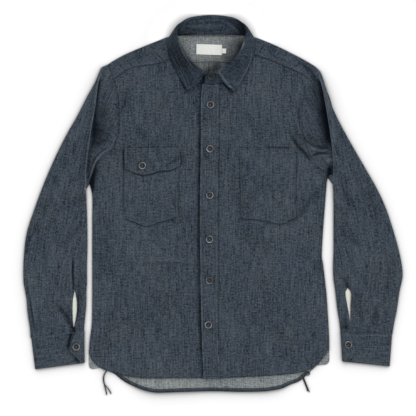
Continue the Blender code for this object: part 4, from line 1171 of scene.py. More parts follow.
def back_seam_points():
    """The back seam from the left armhole to the right one, with a point below each point of the neck."""
    found = []
    for side in (LEFT, RIGHT):
        start = ARMHOLES[side][BACK_YOKE_ROW][0]
        end = NECK_EDGES[side][NECK_POINT_ROW][0]
        arm = [back_seam(lerp(start, end, i / YOKE_STEPS)) for i in range(YOKE_STEPS)]
        arm[0] = point(*ARMHOLES[side][BACK_YOKE_ROW][:2], FLOOR_MID)
        middle = [back_seam(p[0]) for p in NECK_EDGES[side][NECK_POINT_ROW::-1]]
        found.append(arm + middle)
    return np.array(found[LEFT] + found[RIGHT][-2::-1])


def back_hem(columns):
    """The back hem from one side seam to the other, with more points near the sides."""
    corners = [plan(SIDE_EDGES[side][0]) for side in (LEFT, RIGHT)]
    shares = 0.5 - 0.5 * np.cos(np.pi * np.arange(columns + 1) / columns)
    path = np.vstack((corners[LEFT], in_plan(BACK_HEM), corners[RIGHT]))
    return curve(path, shares=shares)


def tail_lift(xy):
    """How far the back hem lifts off the surface."""
    hem = curve(in_plan(BACK_HEM), 120)
    x = xy[..., 0]
    rise = TAIL_RISE * smooth((TAIL_WIDTH - np.abs(x)) / TAIL_FADE) * (0.85 + 0.2 * lattice(x, 57, 8))
    return rise * smooth(1 - nearest(hem, xy)[0] / TAIL_REACH)


def back_panel():
    """The back below the yoke. It lies wrong side up."""
    columns, rows = BACK_CELLS
    top = curve(plan(moved(back_seam_points(), -GAP)), columns)
    edges = []
    for side in (LEFT, RIGHT):
        end = top[0] if side == LEFT else top[-1]
        hole = ARMHOLES[side][-2 : BACK_YOKE_ROW : -1]
        edges.append(curve(np.vstack((side_edge(side, 30), hole, end)), rows))
    grid = coons(back_hem(columns), top, *edges)
    grid = with_heights(grid, FLOOR_MID + tail_lift(grid))
    # Painted shade along the back's border, and where the collar shades it inside the neck
    near, _ = border_marks(grid)
    dark = joined_tones(BACK_BORDER * near, folds(NECK_TONES, grid)[1])
    obj = cloth("back", "denim_inside", grid, "denim inside", "denim face", marks={"shade": dark})


def front_panel(side):
    """A front, from its side seam to the button strip or to its own under-lap."""
    columns, rows = FRONT_CELLS
    neck = plan(NECK_EDGES[side][YOKE_NECK_ROW + 1 :])
    seam = moved(yoke_front_seam(side, SEAM_STEPS), (-GAP, GAP)[side])
    top = curve(np.vstack((seam, neck)), columns)
    hole = ARMHOLES[side][-2 : FRONT_YOKE_ROW : -1]
    outer = curve(np.vstack((side_edge(side, 30), hole, top[0])), rows)
    shares = 1 - np.cos(np.pi / 2 * np.arange(columns + 1) / columns)
    bottom = curve(np.vstack((plan(outer[0]), in_plan(FRONT_HEM[side]))), shares=shares)
    y = lerp(bottom[-1][1], top[-1][1], lengths(outer))
    x = np.full(len(y), UNDER_LAP) if side == LEFT else placket_edges(y)[0] + GAP
    inner = np.stack((x, y, 0 * y), axis=1)
    inner[0], inner[-1] = bottom[-1], top[-1]
    grid = coons(bottom, top, outer, inner)
    height = front_height(side, grid)
    height += ridge(nearest(hole, grid)[0], *HOLE_RIDGE)
    height -= ridge(nearest(seam, grid)[0], *SEAM_DIP)
    grid = with_heights(grid, height)
    # Painted shade along the border, and the painted shade and highlights of front_tones
    near, _ = border_marks(grid)
    dark, tint_and_highlight = front_tones(side, grid)
    marks = {"shade": joined_tones(dark, FRONT_BORDER * near), "tint_and_highlight": tint_and_highlight}
    obj = cloth("front_" + SIDES[side], "denim", grid, "denim face", "denim inside", marks=marks)


# The cells between the yoke's rows, its row on the fold, the last row that the collar shades, and the first row that
# lies on the front
YOKE_CELLS = (10, 10, 10, 2, 2, 2, 6, 6, 6)
TURN_ROW, SHADED_ROW, OVER_ROW = 32, 35, 38


def yoke_arm(side):
    """Columns over one shoulder, from the armhole to the neck. Each runs from the back seam, over the fold, to
    the front seam."""
    hole, neck = ARMHOLES[side], NECK_EDGES[side]
    seam = yoke_front_seam(side)
    back = back_seam_points()
    back = back if side == LEFT else back[::-1]
    columns = []
    for i in range(YOKE_STEPS + 1):
        fold = SHOULDERS[side][i]
        behind = [lerp(back[i], fold, t) for t in (0, 1 / 3, 2 / 3)]
        ahead = [lerp(fold, seam[i], t) for t in (0.25, 0.5, 0.75, 1)]
        if i == 0:
            behind = [hole[3], hole[2], hole[1]]
            ahead = [lerp(hole[0], hole[1], 0.5), hole[1], lerp(hole[1], hole[2], 0.5), hole[2]]
        if i == YOKE_STEPS:
            ahead = list(neck[NECK_POINT_ROW + 1 : YOKE_NECK_ROW + 1])
        near = 0.9 + 0.7 * smooth(i / 2)
        before = fold + unit(plan(behind[-1] - fold)) * near
        after = fold + unit(plan(ahead[0] - fold)) * near
        low = np.array(behind + [before])
        low = with_heights(low, back_height(low))
        over = np.array([after] + ahead)
        over = with_heights(over, front_height(side, over))
        turn = point(fold[0], fold[1], (low[-1][2] + over[0][2]) / 2)
        columns.append(np.vstack((low, turn, over)))
    return np.array(columns)


def over_fold(xy, start, end):
    """Places on the far side of a fold, as they lay before it was folded."""
    along = unit(plan(end - start))[:2]
    off = xy - start[:2]
    return start[:2] + 2 * (off @ along)[..., None] * along - off


def yoke():
    """One layer that folds over both shoulders."""
    arms = []
    for side in (LEFT, RIGHT):
        arm = refined(refined(yoke_arm(side), YOKE_CELLS, axis=1), 7, axis=0)
        over = arm[:, OVER_ROW:]
        height = front_height(side, over) + ridge(nearest(yoke_front_seam(side, SEAM_STEPS), over)[0], *YOKE_RIDGE)
        arm[:, OVER_ROW:] = with_heights(over, height)
        arms.append(arm)
    left, right = arms[LEFT], arms[RIGHT][::-1]
    middle = []
    for side, order in ((LEFT, range(NECK_POINT_ROW, -1, -1)), (RIGHT, range(1, NECK_POINT_ROW + 1))):
        for row in order:
            edge = NECK_EDGES[side][row]
            middle.append([lerp(back_seam(edge[0]), edge, t) for t in np.linspace(0, 1, TURN_ROW + 1)])
    middle = refined(np.array(middle), 6, axis=0)[1:-1]
    middle = with_heights(middle, back_height(middle))
    rest = np.full((len(middle), left.shape[1] - TURN_ROW - 1, 3), np.nan)
    grid = np.concatenate((left, np.concatenate((middle, rest), axis=1), right))
    grid = np.moveaxis(grid, 0, 1)
    missing = np.isnan(grid[..., 0])
    gone = missing[:-1, :-1] | missing[:-1, 1:] | missing[1:, :-1] | missing[1:, 1:]
    grid[missing] = 0
    grain = grid[..., :2].copy()
    half = len(left) + len(middle) // 2
    # Painted shade where the collar shades the yoke, and the fronts' painted shade and highlights over the shoulders
    dark, tint_and_highlight = np.zeros(grid.shape[:2]), np.zeros(grid.shape[:2])
    dark[: SHADED_ROW + 1] = folds(NECK_TONES, grid[: SHADED_ROW + 1])[1]
    for side, columns in ((LEFT, slice(0, half)), (RIGHT, slice(half, None))):
        over = slice(OVER_ROW, None), columns
        grain[over] = over_fold(grain[over], SHOULDERS[side][0], SHOULDERS[side][-1])
        dark[over], tint_and_highlight[over] = front_tones(side, grid[over], sewn=False)
    marks = {"shade": dark, "tint_and_highlight": tint_and_highlight}
    obj = cloth("yoke", "denim", grid, "denim face", "denim inside", grain, left_out=gone, up=False, marks=marks)


def button_strip():
    """The strip on the right front, with the buttonholes."""
    low, high = PLACKET[0][0], PLACKET[-1][0]
    ys = lerp(low, high, edged(STRIP_CELLS[1], 584))
    shares = edged(STRIP_CELLS[0], 36)
    left, right = placket_edges(ys)
    neck = NECK_EDGES[RIGHT]
    top = [(x, p[1] - GAP) for x, p in zip((-11, COLLAR_X, 20), (neck[-1], neck[-2], neck[-3]))]
    lift = np.interp(lerp(-17, 19, shares), [t[0] for t in top], [t[1] for t in top]) - high
    x = lerp(left[:, None], right[:, None], shares[None])
    y = ys[:, None] + lift[None] * smooth((ys[:, None] - STRIP_BEND) / (high - STRIP_BEND))
    grid = np.stack((x, y, 0 * x), axis=-1)
    far = border_marks(grid)[1]
    height = front_height(RIGHT, grid) + LAYER - ridge(far, *STRIP_GROOVE)
    height += lattice(grid[..., 1], 9, 21) * ridge(far, *STRIP_PUCKER) + ridge(far, *STRIP_EDGE)
    grid = with_heights(grid, height)
    # Painted shade on the strip's edges, in its seam's groove and in the buttonholes' slits, with pale edges that
    # are partly painted highlight
    marks = edge_marks(grid, 0.5, 0.7, 1.7, 1)
    holes = tuple((0, 1.3, 0.9, (x, y + 6), (x, y - 15)) for x, y in PLACKET_BUTTONS)
    dark, tint_and_highlight = front_tones(RIGHT, grid, sewn=False)
    marks["shade"] = joined_tones(marks["shade"], dark, ridge(far, *STRIP_LINE), folds(holes, grid)[1])
    marks["tint_and_highlight"] = np.maximum(marks["tint_and_highlight"], tint_and_highlight)
    obj = cloth("button_strip", "denim", grid, "denim face", "denim face", marks=marks)


def patch(name, side, edges, layers):
    """A patch sewn on a front: its top edge's ends and its lower edge."""
    columns, rows = PATCH_CELLS
    (left, right), lower = edges
    across = edged(columns, right[0] - left[0])
    bottom = curve(in_plan(lower), shares=across)
    top = lerp(point(*left), point(*right), across[:, None])
    sides = [lerp(bottom[i], top[i], edged(rows, 150)[:, None]) for i in (0, -1)]
    grid = coons(bottom, top, *sides, across=across)
    far = border_marks(grid)[1]
    height = front_height(side, grid) + layers * LAYER - ridge(far, *PATCH_GROOVE) + PATCH_SWELL * smooth(far / 30)
    grid = with_heights(grid, height)
    # Painted shade on the patch's edges and in its seam's groove, pale edges that are partly painted highlight, and
    # on the pocket the flap's painted shadow
    marks = edge_marks(grid, 0.45, 0.3, 1.5, len(name))
    dark, _ = front_tones(side, grid, sewn=False)
    marks["shade"] = joined_tones(marks["shade"], dark, ridge(far, *PATCH_LINE))
    if name == "pocket_left":
        marks["shade"] = joined_tones(marks["shade"], folds((beside(FLAP[1], -1.2, 1.9, 0.8),), grid)[1])
    obj = cloth(name, "denim", grid, "denim face", "denim inside", marks=marks)


def gusset(side):
    """The small corner piece below the end of a side seam."""
    hem = moved(back_hem(48), -GAP)
    if side == RIGHT:
        hem = hem[::-1]
    inner = np.array([p for p in hem[1:] if p[0] * OUTWARD[side] > GUSSET_INNER])
    path = np.vstack((in_plan(GUSSET_CORNERS[side]), inner[-1] + point(0, -0.8)))
    outer = curve(path, len(inner) - 1)
    grid = np.array([lerp(outer, inner, t) for t in np.linspace(0, 1, 12)])
    grid = with_heights(grid, FLOOR_MID)
    obj = cloth("gusset_" + SIDES[side], "denim_inside", grid, "denim inside", "denim face")


def strip_line():
    """The part of the back hem that has its strip."""
    start, end = HEM_STRIP_ENDS
    return np.array([p for p in curve(in_plan(BACK_HEM), 300) if start < p[0] < end])


def hem_strip():
    """The back hem's turned edge, which lifts with the hem."""
    lower = moved(curve(strip_line(), 200), GAP)
    grid = np.array([moved(lower, HEM_STRIP * t) for t in edged(6, HEM_STRIP, 0.6)])
    grid = with_heights(grid, FLOOR_MID + CLOTH / 2 + GAP + THIN / 2 + tail_lift(grid))
    # Painted shade on the strip's edges, with a faint pale line that is partly painted highlight; the whole strip is
    # also darkened
    marks = edge_marks(grid, 0.7, 0.15, 2.6, 3)
    marks["shade"] = joined_tones(marks["shade"], 0.3)
    obj = cloth("back_hem", "denim", grid, "denim face", "denim face", thickness=THIN, marks=marks)


# The collar


def collar_sections():
    """The collar's sections from the left front round the back to the right one: the points at the neck, crest
    and edge, how far the leaf bulges, and the ways down and out from the crest."""
    stations = []
    for side in (LEFT, RIGHT):
        half = []
        for i, row in enumerate(COLLAR + STAND_ENDS):
            neck = neck_rows(side)[i]
            lower = neck_rows(RIGHT)[i][2] - neck[2]
            out, y, z = row[1]
            crest = collar_point(side, (out, y, z - lower))
            edge, bulge = None, 0
            if len(row) > 2:
                edge, bulge = collar_point(side, row[2]), row[3]
            half.append((neck, crest, edge, bulge))
        stations.append(half)
    run = stations[LEFT][::-1] + stations[RIGHT][1:]
    found = []
    for i, (neck, crest, edge, bulge) in enumerate(run):
        along = unit(run[min(len(run) - 1, i + 1)][1] - run[max(0, i - 1)][1])
        down = unit(neck - crest)
        if edge is not None:
            down = down + unit(edge - crest)
        down = unit(down - along * down.dot(along))
        found.append((neck, crest, edge, bulge, down, np.cross(along, down)))
    return found


def collar_cloth(node, slot, grid):
    # The collar's painted shade and highlights, from COLLAR_TONES
    _, dark, tint_and_highlight = folds(COLLAR_TONES, grid)
    marks = {"shade": dark, "tint_and_highlight": tint_and_highlight}
    return cloth(node, slot, grid, "collar denim", "collar denim", grain_along(grid), DOUBLE, marks=marks)


# How far along the leaf's fall its bend lies, and how far the stand hollows
LEAF_BEND, STAND_HOLLOW = 0.45, 0.6
# The cells between the leaf's rows
LEAF_CELLS = (3, 2, 2, 2, 2, 6, 6, 6, 6, 6)


def collar():
    """The stand and the leaf. The stand's section at the front is what its button lies on."""
    stand, leaf = [], []
    for neck, crest, edge, bulge, down, out in collar_sections():
        top = crest + down * (ROLL + ROLL_INSIDE + GAP) - out * ROLL
        belly = lerp(neck, top, 0.5) - out * STAND_HOLLOW
        stand.append([neck, lerp(neck, belly, 0.55), belly, lerp(belly, top, 0.6), top])
        if edge is None:
            continue
        column = [crest + down * (ROLL + ROLL_INSIDE) - out * ROLL]
        for degrees in (0, 45, 90, 135, 180):
            a = math.radians(degrees)
            column.append(crest + down * ROLL * (1 - math.sin(a)) - out * ROLL * math.cos(a))
        start = column[-1]
        fall = np.linalg.norm(edge - start)
        bend = start + down * LEAF_BEND * fall + out * bulge
        for t in (0.2, 0.4, 0.6, 0.8, 1.0):
            p = lerp(lerp(start, bend, t), lerp(bend, edge, t), t)
            column.append(point(p[0], p[1], max(p[2], DOUBLE / 2)))
        leaf.append(column)
    stand = refined(refined(stand, 6, axis=1), 9, axis=0)
    leaf = refined(refined(leaf, LEAF_CELLS, axis=1), 10, axis=0)
    leaf[..., 2] = np.maximum(leaf[..., 2], DOUBLE / 2)
    obj = collar_cloth("collar_stand", "collar_denim", stand)
    obj = collar_cloth("collar_leaf", "denim", leaf)
    return stand[-10]


# Sleeves and cuffs


def pleat_rings(side, seam, places):
    """Rings of a sleeve from the armhole's seam over its cap, under the pleat and up to the pleat's crest."""
    line = curve(side_rows(PLEAT_LINE, side), 16)
    out = OUTWARD[side]
    rings = [(seam, [EDGE_MID - 0.5] + [EDGE_MID - 1.3] * (len(seam) - 2) + [EDGE_MID - 0.5])]
    shallow, laid_down = PLEAT_LAID
    for k in range(1, 8):
        points, heights = [], []
        for j, place in enumerate(places):
            crest_line = at(line, place)
            swell = math.sin(math.pi * place)
            depth = PLEAT_DEPTH * smooth(place / PLEAT_ENDS[0]) * smooth((1 - place) / PLEAT_ENDS[1])
            crest = lerp(PLEAT_LOW, PLEAT_CREST[side], swell)
            # How far out from the crest's line each ring of the pleat lies, and its height
            across, height = (
                (lerp(seam[j][0], crest_line[0], 0.5) * out - crest_line[0] * out, EDGE_MID + 2.6 * swell),
                (depth - PLEAT_TURN, EDGE_MID + 0.5 * swell),
                (depth, EDGE_MID + PLEAT_TURN),
                (depth - PLEAT_TURN, EDGE_MID + 2 * PLEAT_TURN),
                (PLEAT_CREST_TURN, crest - 2 * PLEAT_CREST_TURN),
                (0, crest - PLEAT_CREST_TURN),
                (PLEAT_CREST_TURN, crest),
            )[k - 1]
            laid = crest_line + point(out * across, 0)
            if k == 1:
                laid[1] = lerp(seam[j][1], crest_line[1], 0.5)
            fade = smooth((depth - shallow) / (laid_down - shallow))
            plain = lerp(seam[j], crest_line + point(out * PLEAT_CREST_TURN, 0), k / 7)
            points.append(lerp(plain, laid, fade))
            start = lerp(EDGE_MID + 0.9, SLEEVE_MID, smooth(place / 0.12))
            heights.append(lerp(lerp(EDGE_MID, start, smooth(k / 8)), height, fade))
        rings.append((points, heights))
    return rings


def sleeve_places(armhole_places, straight, slit=None):
    """Shares of a row's width at which its points lie: as at the armhole, or even ones with the slit between."""
    first, second = SLIT_COLUMNS
    low, high = slit or (SLIT_PLACE - SLIT_PLACE_HALF, SLIT_PLACE + SLIT_PLACE_HALF)
    last = len(armhole_places) - 1
    found = []
    for j, place in enumerate(armhole_places):
        if j <= first:
            even = low * j / first
        else:
            even = lerp(high, 1.0, (j - second) / (last - second))
        found.append(lerp(place, even, straight))
    return found


def flattened_ring(over_plan, below, heights):
    """A ring over the top from the outer fold to the inner one, and back along the surface. The fourth number is
    1 on the top layer."""
    top = [point(p[0], p[1], z) for p, z in zip(over_plan, heights)]
    floor = [point(p[0], p[1], FLOOR_MID) for p in below]
    found = {}
    for end, second in ((0, 1), (-1, -2)):
        tip = point(over_plan[end][0], over_plan[end][1], (FLOOR_MID + heights[end]) / 2)
        over = plan(top[second] - top[end])
        under = plan(floor[second] - floor[end])
        half = tip[2] - FLOOR_MID
        roomy = smooth((half - LOW_FOLD) / LOW_FOLD)
        near = min(0.55 * half, np.linalg.norm(over) / 5, np.linalg.norm(under) / 5)
        rise, next_rise = lerp(0.85, 0.62, roomy), lerp(1.0, 0.9, roomy)
        rim, foot = [], []
        for reach, share in ((near, rise), (3.4 * near, next_rise)):
            rim.append(tip + unit(over) * reach + point(0, 0, share * (heights[second] - tip[2])))
            foot.append(tip + unit(under) * reach - point(0, 0, min(1.0, share + 0.1) * half))
        found[end] = (tip, rim, foot)
    outer, inner = found[0], found[-1]
    ring = [outer[0]] + outer[1] + top[1:-1] + inner[1][::-1] + [inner[0]]
    on_top = [0, 0.2, 0.6] + [1] * (len(top) - 2) + [0.6, 0.2, 0]
    ring = ring + inner[2] + floor[-2:0:-1] + outer[2][::-1]
    on_top = on_top + [0] * (len(ring) - len(on_top))
    return np.column_stack((np.array(ring), on_top))


def sleeve_grain(side, grid):
    """Places along the sleeve and across it, and along the slanted cloth of its cap."""
    out = OUTWARD[side]
    line = curve([(out * x, y, 0) for x, y in SLEEVE_LINE], 40)
    far, along, _ = nearest(line, grid)
    on_left = nearest(moved(line, 200), grid)[0] < nearest(moved(line, -200), grid)[0]
    grain = np.stack((np.where(on_left, -far, far), -along), axis=-1)
    slant = math.radians(25) * out
    x, y = grid[:CAP_ROWS, :, 0], grid[:CAP_ROWS, :, 1]
    grain[:CAP_ROWS, :, 0] = x * math.cos(slant) + y * math.sin(slant)
    grain[:CAP_ROWS, :, 1] = y * math.cos(slant) - x * math.sin(slant)
    return grain


def tucked_rows(grid):
    """Rows that take the sleeve's end flat into the cuff."""
    ahead = unit(plan((grid[-1] - grid[-2])[:, :3].mean(0)))
    found = []
    for reach, flat in TUCKS:
        row = grid[-1].copy()
        row[:, :3] += ahead * reach
        row[:, 2] = lerp(row[:, 2], TUCK_MID + 0.3 * (row[:, 2] - TUCK_MID), flat)
        found.append(row[None])
    return found


def sleeve_body(side, armhole_places):
    """The points and heights of each row of a sleeve's top layer, below its pleat."""
    rows = []
    for n, (ox, oy, ix, iy, bow, height) in enumerate(SLEEVE_ROWS[side]):
        rows.append((point(ox, oy), point(ix, iy), bow, height, min(1.0, (n + 1) / STRAIGHT_ROW), None))
    for ox, oy, ix, iy, slit_x, half in SLIT_ROWS[side]:
        span = ix - ox
        slit = sorted(((slit_x - half - ox) / span, (slit_x + half - ox) / span))
        rows.append((point(ox, oy), point(ix, iy), 0, SLEEVE_MID, 1.0, slit))
    body = []
    for outer, inner, bow, height, straight, slit in rows:
        run = inner - outer
        away = OUTWARD[side] * unit(point(abs(run[1]), run[0] * OUTWARD[side]))
        points, heights = [], []
        for place in sleeve_places(armhole_places, straight, slit):
            points.append(lerp(outer, inner, place) + away * bow * 4 * place * (1 - place))
            heights.append(SLEEVE_MID + (height - SLEEVE_MID) * math.sin(math.pi * place))
        body.append((points, heights))
    return body


def sleeve_relief(side, grid):
    """What the folds add to a sleeve's top layer: height, painted shade and painted highlight. The cap shares the
    folds of the front beside it, and has shade painted on it below the pleat."""
    pleated, cap = slice(0, CAP_ROWS + 4), slice(0, CAP_ROWS)
    relief, dark, tint_and_highlight = folds(SLEEVE_FOLDS, grid)
    cap_relief, cap_dark, cap_highlight = folds(ARM_FOLDS, grid[cap])
    relief += waves(SLEEVE_WAVES, grid)
    relief[pleated] = 0
    relief[cap] = cap_relief
    # Painted shade on the pleat's hidden rows and on the cap below it, where the pleat is deep
    under = smooth((np.arange(CAP_ROWS + 4) - CAP_ROWS + 6) / 6)[:, None]
    deep = OUTWARD[side] * (grid[CAP_ROWS] - grid[CREST_ROW])[:, 0]
    dark[pleated] = under * smooth(deep / PLEAT_SHADED)
    dark[cap] = joined_tones(dark[cap], cap_dark)
    tint_and_highlight[pleated] = 0
    tint_and_highlight[cap] = cap_highlight
    # A painted highlight along the pleat's crest
    at_crest = nearest(curve(side_rows(PLEAT_LINE, side), 40), grid)[0]
    tint_and_highlight[CAP_ROWS + 4 :] = np.maximum(tint_and_highlight, PLEAT_HIGHLIGHT * bell(at_crest, 1.1))[CAP_ROWS + 4 :]
    return relief, dark, tint_and_highlight


def sleeve(side):
    """A flattened tube with a pleat at the armhole and a slit above the cuff."""
    seam = moved(ARMHOLES[side], (SEAM_OUT, -SEAM_OUT)[side])
    armhole_places = lengths(seam)
    tucked = moved(ARMHOLES[side], (-SEAM_TUCK, SEAM_TUCK)[side])
    tucked[0], tucked[-1] = seam[0], seam[-1]
    pleat = pleat_rings(side, tucked, armhole_places)
    body = sleeve_body(side, armhole_places)
    rings = []
    for k, (points, heights) in enumerate(pleat):
        below = [lerp(a, b, k / len(pleat)) for a, b in zip(seam, body[0][0])]
        below[0], below[-1] = points[0], points[-1]
        rings.append(flattened_ring(points, below, heights))
    rings += [flattened_ring(points, points, heights) for points, heights in body]
    top_cells = [2, 2] + [9] * 14 + [2, 2]
    counts = top_cells + [2] * 18
    slit_rows, slit_start = len(SLIT_ROWS[side]), len(SLEEVE_ROWS[side])
    row_counts = list(PLEAT_CELLS) + [13] * (slit_start - 1) + [8] * slit_rows
    grid = refined(refined(rings, counts, axis=1, closed=True), row_counts, axis=0)
    grid = np.concatenate((grid, *tucked_rows(grid)))
    hole_column = sum(counts[: SLIT_COLUMNS[0] + 2])
    left_out = np.zeros((len(grid) - 1, grid.shape[1]), bool)
    hole_start = sum(row_counts[: len(pleat) + slit_start])
    hole_end = sum(row_counts[: len(pleat) + slit_start + slit_rows - 2])
    left_out[hole_start:hole_end, hole_column : hole_column + counts[SLIT_COLUMNS[0] + 2]] = True
    on_top = np.clip(grid[..., 3], 0, 1)
    edges = np.vstack((grid[:, 0, :3], grid[::-1, sum(top_cells), :3]))
    grid = grid[..., :3].copy()
    from_edge = nearest(edges, grid)[0]
    inside = smooth(from_edge / EDGE_RISE)
    inside[:CAP_ROWS] = smooth(from_edge[:CAP_ROWS] / CAP_RISE)
    relief, dark, tint_and_highlight = sleeve_relief(side, grid)
    grid[..., 2] += on_top * inside * relief
    top = on_top > 0.9
    grid[top, 2] = np.maximum(grid[top, 2], FLOOR_MID + LAYER)
    marks = {"shade": dark * on_top, "tint_and_highlight": tint_and_highlight * on_top}
    faces, grain = ("denim face", "denim inside"), sleeve_grain(side, grid)
    obj = cloth("sleeve_" + SIDES[side], "denim", grid, *faces, grain, ring=True, left_out=left_out, marks=marks)


def at_slit_edge(side, y):
    """Where the right edge of a slit lies at one height of the sleeve."""
    rows = [(lerp(oy, iy, SLIT_PLACE), slit_x + half) for _, oy, _, iy, slit_x, half in SLIT_ROWS[side]]
    ys, xs = np.array(sorted(rows)).T
    return np.interp(y, ys, xs) - 0.8


def self_edge(side):
    """The pale edge of the sleeve's own cloth, which shows in its slit."""
    height = SLEEVE_MID - CLOTH / 2 - GAP - THIN / 2
    rows = []
    for _, oy, _, iy, slit_x, _ in SLIT_ROWS[side][:-1]:
        y = lerp(oy, iy, SLIT_PLACE)
        rows.append([point(slit_x + d, y, height) for d in np.linspace(-SELF_EDGE_HALF, SELF_EDGE_HALF, 17)])
    grid = refined(rows, 12, axis=0)
    grid[..., 2] += folds(SLEEVE_FOLDS, grid)[0]
    across = grid[..., 0] - grid[:, 8:9, 0]
    grain = np.stack((across, grid[..., 1]), axis=-1)
    from_red = grid[..., 0] - np.array([at_slit_edge(side, y) for y in grid[:, 8, 1]])[:, None]
    # The red line is the self edge's own thread; the faint darkening beside it is painted shadow from the slit's
    # edge
    marks = {"tint_and_highlight": RED_LINE[side] * bell(from_red, 0.8), "shade": 0.10 * bell(from_red, 2.5)}
    materials = ("pale self edge", "pale self edge")
    obj = cloth("self_edge_" + SIDES[side], "self_edge", grid, *materials, grain, THIN, marks=marks)


def cuff(side):
    """A band round the sleeve's end, whose tab overlaps on top and ends in a point."""
    outer_top, inner_top, outer_low, inner_low = in_plan(CUFF_CORNERS[side])
    rows = []
    for place, tab in CUFF_TAB[side]:
        outer, inner = lerp(outer_top, outer_low, place), lerp(inner_top, inner_low, place)
        width = np.linalg.norm(outer - inner)
        # Along the section from the under end to the tab's tip: the distance from the inner fold, and the height
        section = [(9, CUFF_TOP), (0.35 * width, CUFF_TOP), (0.7 * width, CUFF_TOP)]
        section += [(width - 5, CUFF_TOP), (width - 1.4, 3.6), (width, 2.55), (width - 1.4, 1.5)]
        section += [(width - 5, CUFF_MID), (0.5 * width, CUFF_MID), (6, CUFF_MID)]
        section += [(2.6, 1.2), (0.7, 2.3), (0, 3.75), (0.7, 5.2), (2.6, 6.3), (5.2, TAB_TOP)]
        section += [((5.2 + tab) / 2, TAB_TOP), (tab, TAB_TOP)]
        along = unit(outer - inner)
        rows.append([inner + along * s + point(0, 0, z) for s, z in section])
    rows = refined(np.array(rows), CUFF_CELLS, axis=1)
    places = [place for place, _ in CUFF_TAB[side]]
    down = edged(44, 65)
    grid = np.array([[np.interp(down, places, line) for line in column] for column in rows.transpose(1, 2, 0)])
    grid = grid.transpose(2, 0, 1)
    tab_start = grid.shape[1] - 10
    tab = grid[:, -1]
    tab = np.vstack((tab[:1] + 2 * (tab[:1] - tab[6:7]), tab, tab[-1:] + 2 * (tab[-1:] - tab[-7:-6])))
    # Painted shadow that the tab casts on the cuff beside its edge, with the cuff's other painted shade and
    # highlights; no shade is painted on the tab itself
    shade = moved(tab, OUTWARD[side] * -1.4)
    _, dark, tint_and_highlight = folds(((0, 2.8, CUFF_TAB_TONES[side], *shade[:, :2]),) + CUFF_TONES[side], grid)
    dark[:, tab_start:] = 0
    marks = edge_marks(grid, 0.4, 0.3, 1.5, side)
    marks["shade"] = joined_tones(marks["shade"], dark)
    marks["tint_and_highlight"] = np.maximum(marks["tint_and_highlight"], tint_and_highlight)
    faces = ("denim face", "denim face")
    obj = cloth("cuff_" + SIDES[side], "denim", grid, *faces, grain_along(grid), DOUBLE, marks=marks)


def tag(name, corners):
    """A bare woven tag, turned a little, on the yoke inside the neck."""
    x0, y0, x1, y1 = corners
    across, up = edged(26, x1 - x0, 0.5), edged(14, y1 - y0, 0.5)
    x, y = np.meshgrid(lerp(x0, x1, across), lerp(y0, y1, up))
    x, y = x - LABEL_TURN * (y - LABEL[1]), y + LABEL_TURN * x
    grid = np.stack((x, y, 0 * x), axis=-1)
    lift = CLOTH / 2 + GAP + THIN / 2
    grid = with_heights(grid, back_height(grid) + lift)
    return cloth(name, "label", grid, "woven label", "woven label", thickness=THIN)


# Buttons


def button_materials():
    # The second material is a darker copy of the first, painted shade for the button that lies under the collar
    for name, low, high, rim_low, rim_high in (
        ("button shell", (0.010, 0.012, 0.015), (0.036, 0.041, 0.048), (0.045, 0.05, 0.056), (0.27, 0.285, 0.30)),
        ("button in painted shade", (0.008, 0.012, 0.016), (0.018, 0.026, 0.034), (0.012, 0.018, 0.024), (0.034, 0.046, 0.056)),
    ):
        tree, shader = new_material(name, 0.3)
        spot = node_of(tree, "ShaderNodeTexCoord").outputs["Object"]
        tone = noise_of(tree, spot, 260, 3.0, 0.6)
        broken = math_of(tree, "MULTIPLY_ADD", noise_of(tree, spot, 150, 2.0, 0.6), 3.4, -1.2)
        base = colour_mix(tree, tone, (*low, 1), (*high, 1))
        edge = colour_mix(tree, broken, (*rim_low, 1), (*rim_high, 1))
        # Painted shade, near black, where the shade mark is high; the rim's paler tint is partly painted highlight
        base = colour_mix(tree, marked(tree, "shade"), base, (0.0045, 0.0045, 0.005, 1))
        tree.links.new(colour_mix(tree, marked(tree, "tint_and_highlight"), base, edge), shader.inputs["Base Color"])
        tree.links.new(math_of(tree, "MULTIPLY_ADD", tone, 0.2, 0.25), shader.inputs["Roughness"])


button_materials()
# Each step inwards over a button's face: how far in, and how much it rises or sinks
BUTTON_FACE = ((0.5, 0.9), (0.55, 0.3), (0.55, -0.05), (0.5, -0.45), (0.8, -1.05), (0.9, -0.25))
BUTTON_BACK = ((0.35, 0.18), (1.3, 0.24))
BUTTON_SIDE, BUTTON_LIFT = 1.1, 0.5
HOLE_PLACE, HOLE_RADIUS = 1.15, 0.75


def alone():
    """Leave edit mode and deselect everything."""
    if bpy.context.object and bpy.context.object.mode == "EDIT":
        bpy.ops.object.mode_set(mode="OBJECT")
    bpy.ops.object.select_all(action="DESELECT")


def cylinder(vertices, radius, depth, location=(0, 0, 0), rotation=(0, 0, 0)):
    """A new cylinder, with its sizes and its place in millimetres."""
    alone()
    location = tuple(part * MM for part in location)
    bpy.ops.mesh.primitive_cylinder_add(
        vertices=vertices, radius=radius * MM, depth=depth * MM, location=location, rotation=rotation
    )
    bpy.ops.object.transform_apply(location=True, rotation=True, scale=True)
    return bpy.context.object


def joined(objects):
    """One object out of several."""
    alone()
    for obj in objects:
        obj.select_set(True)
    bpy.context.view_layer.objects.active = objects[0]
    bpy.ops.object.join()
    return bpy.context.object


def pick_faces(obj, wanted):
    """In edit mode, select just the faces whose centre and normal are wanted."""
    bpy.ops.object.mode_set(mode="OBJECT")
    for part in (obj.data.vertices, obj.data.edges):
        part.foreach_set("select", [False] * len(part))
    obj.data.polygons.foreach_set("select", [wanted(face.center, face.normal) for face in obj.data.polygons])
    bpy.ops.object.mode_set(mode="EDIT")
    bpy.ops.mesh.select_mode(type="FACE")


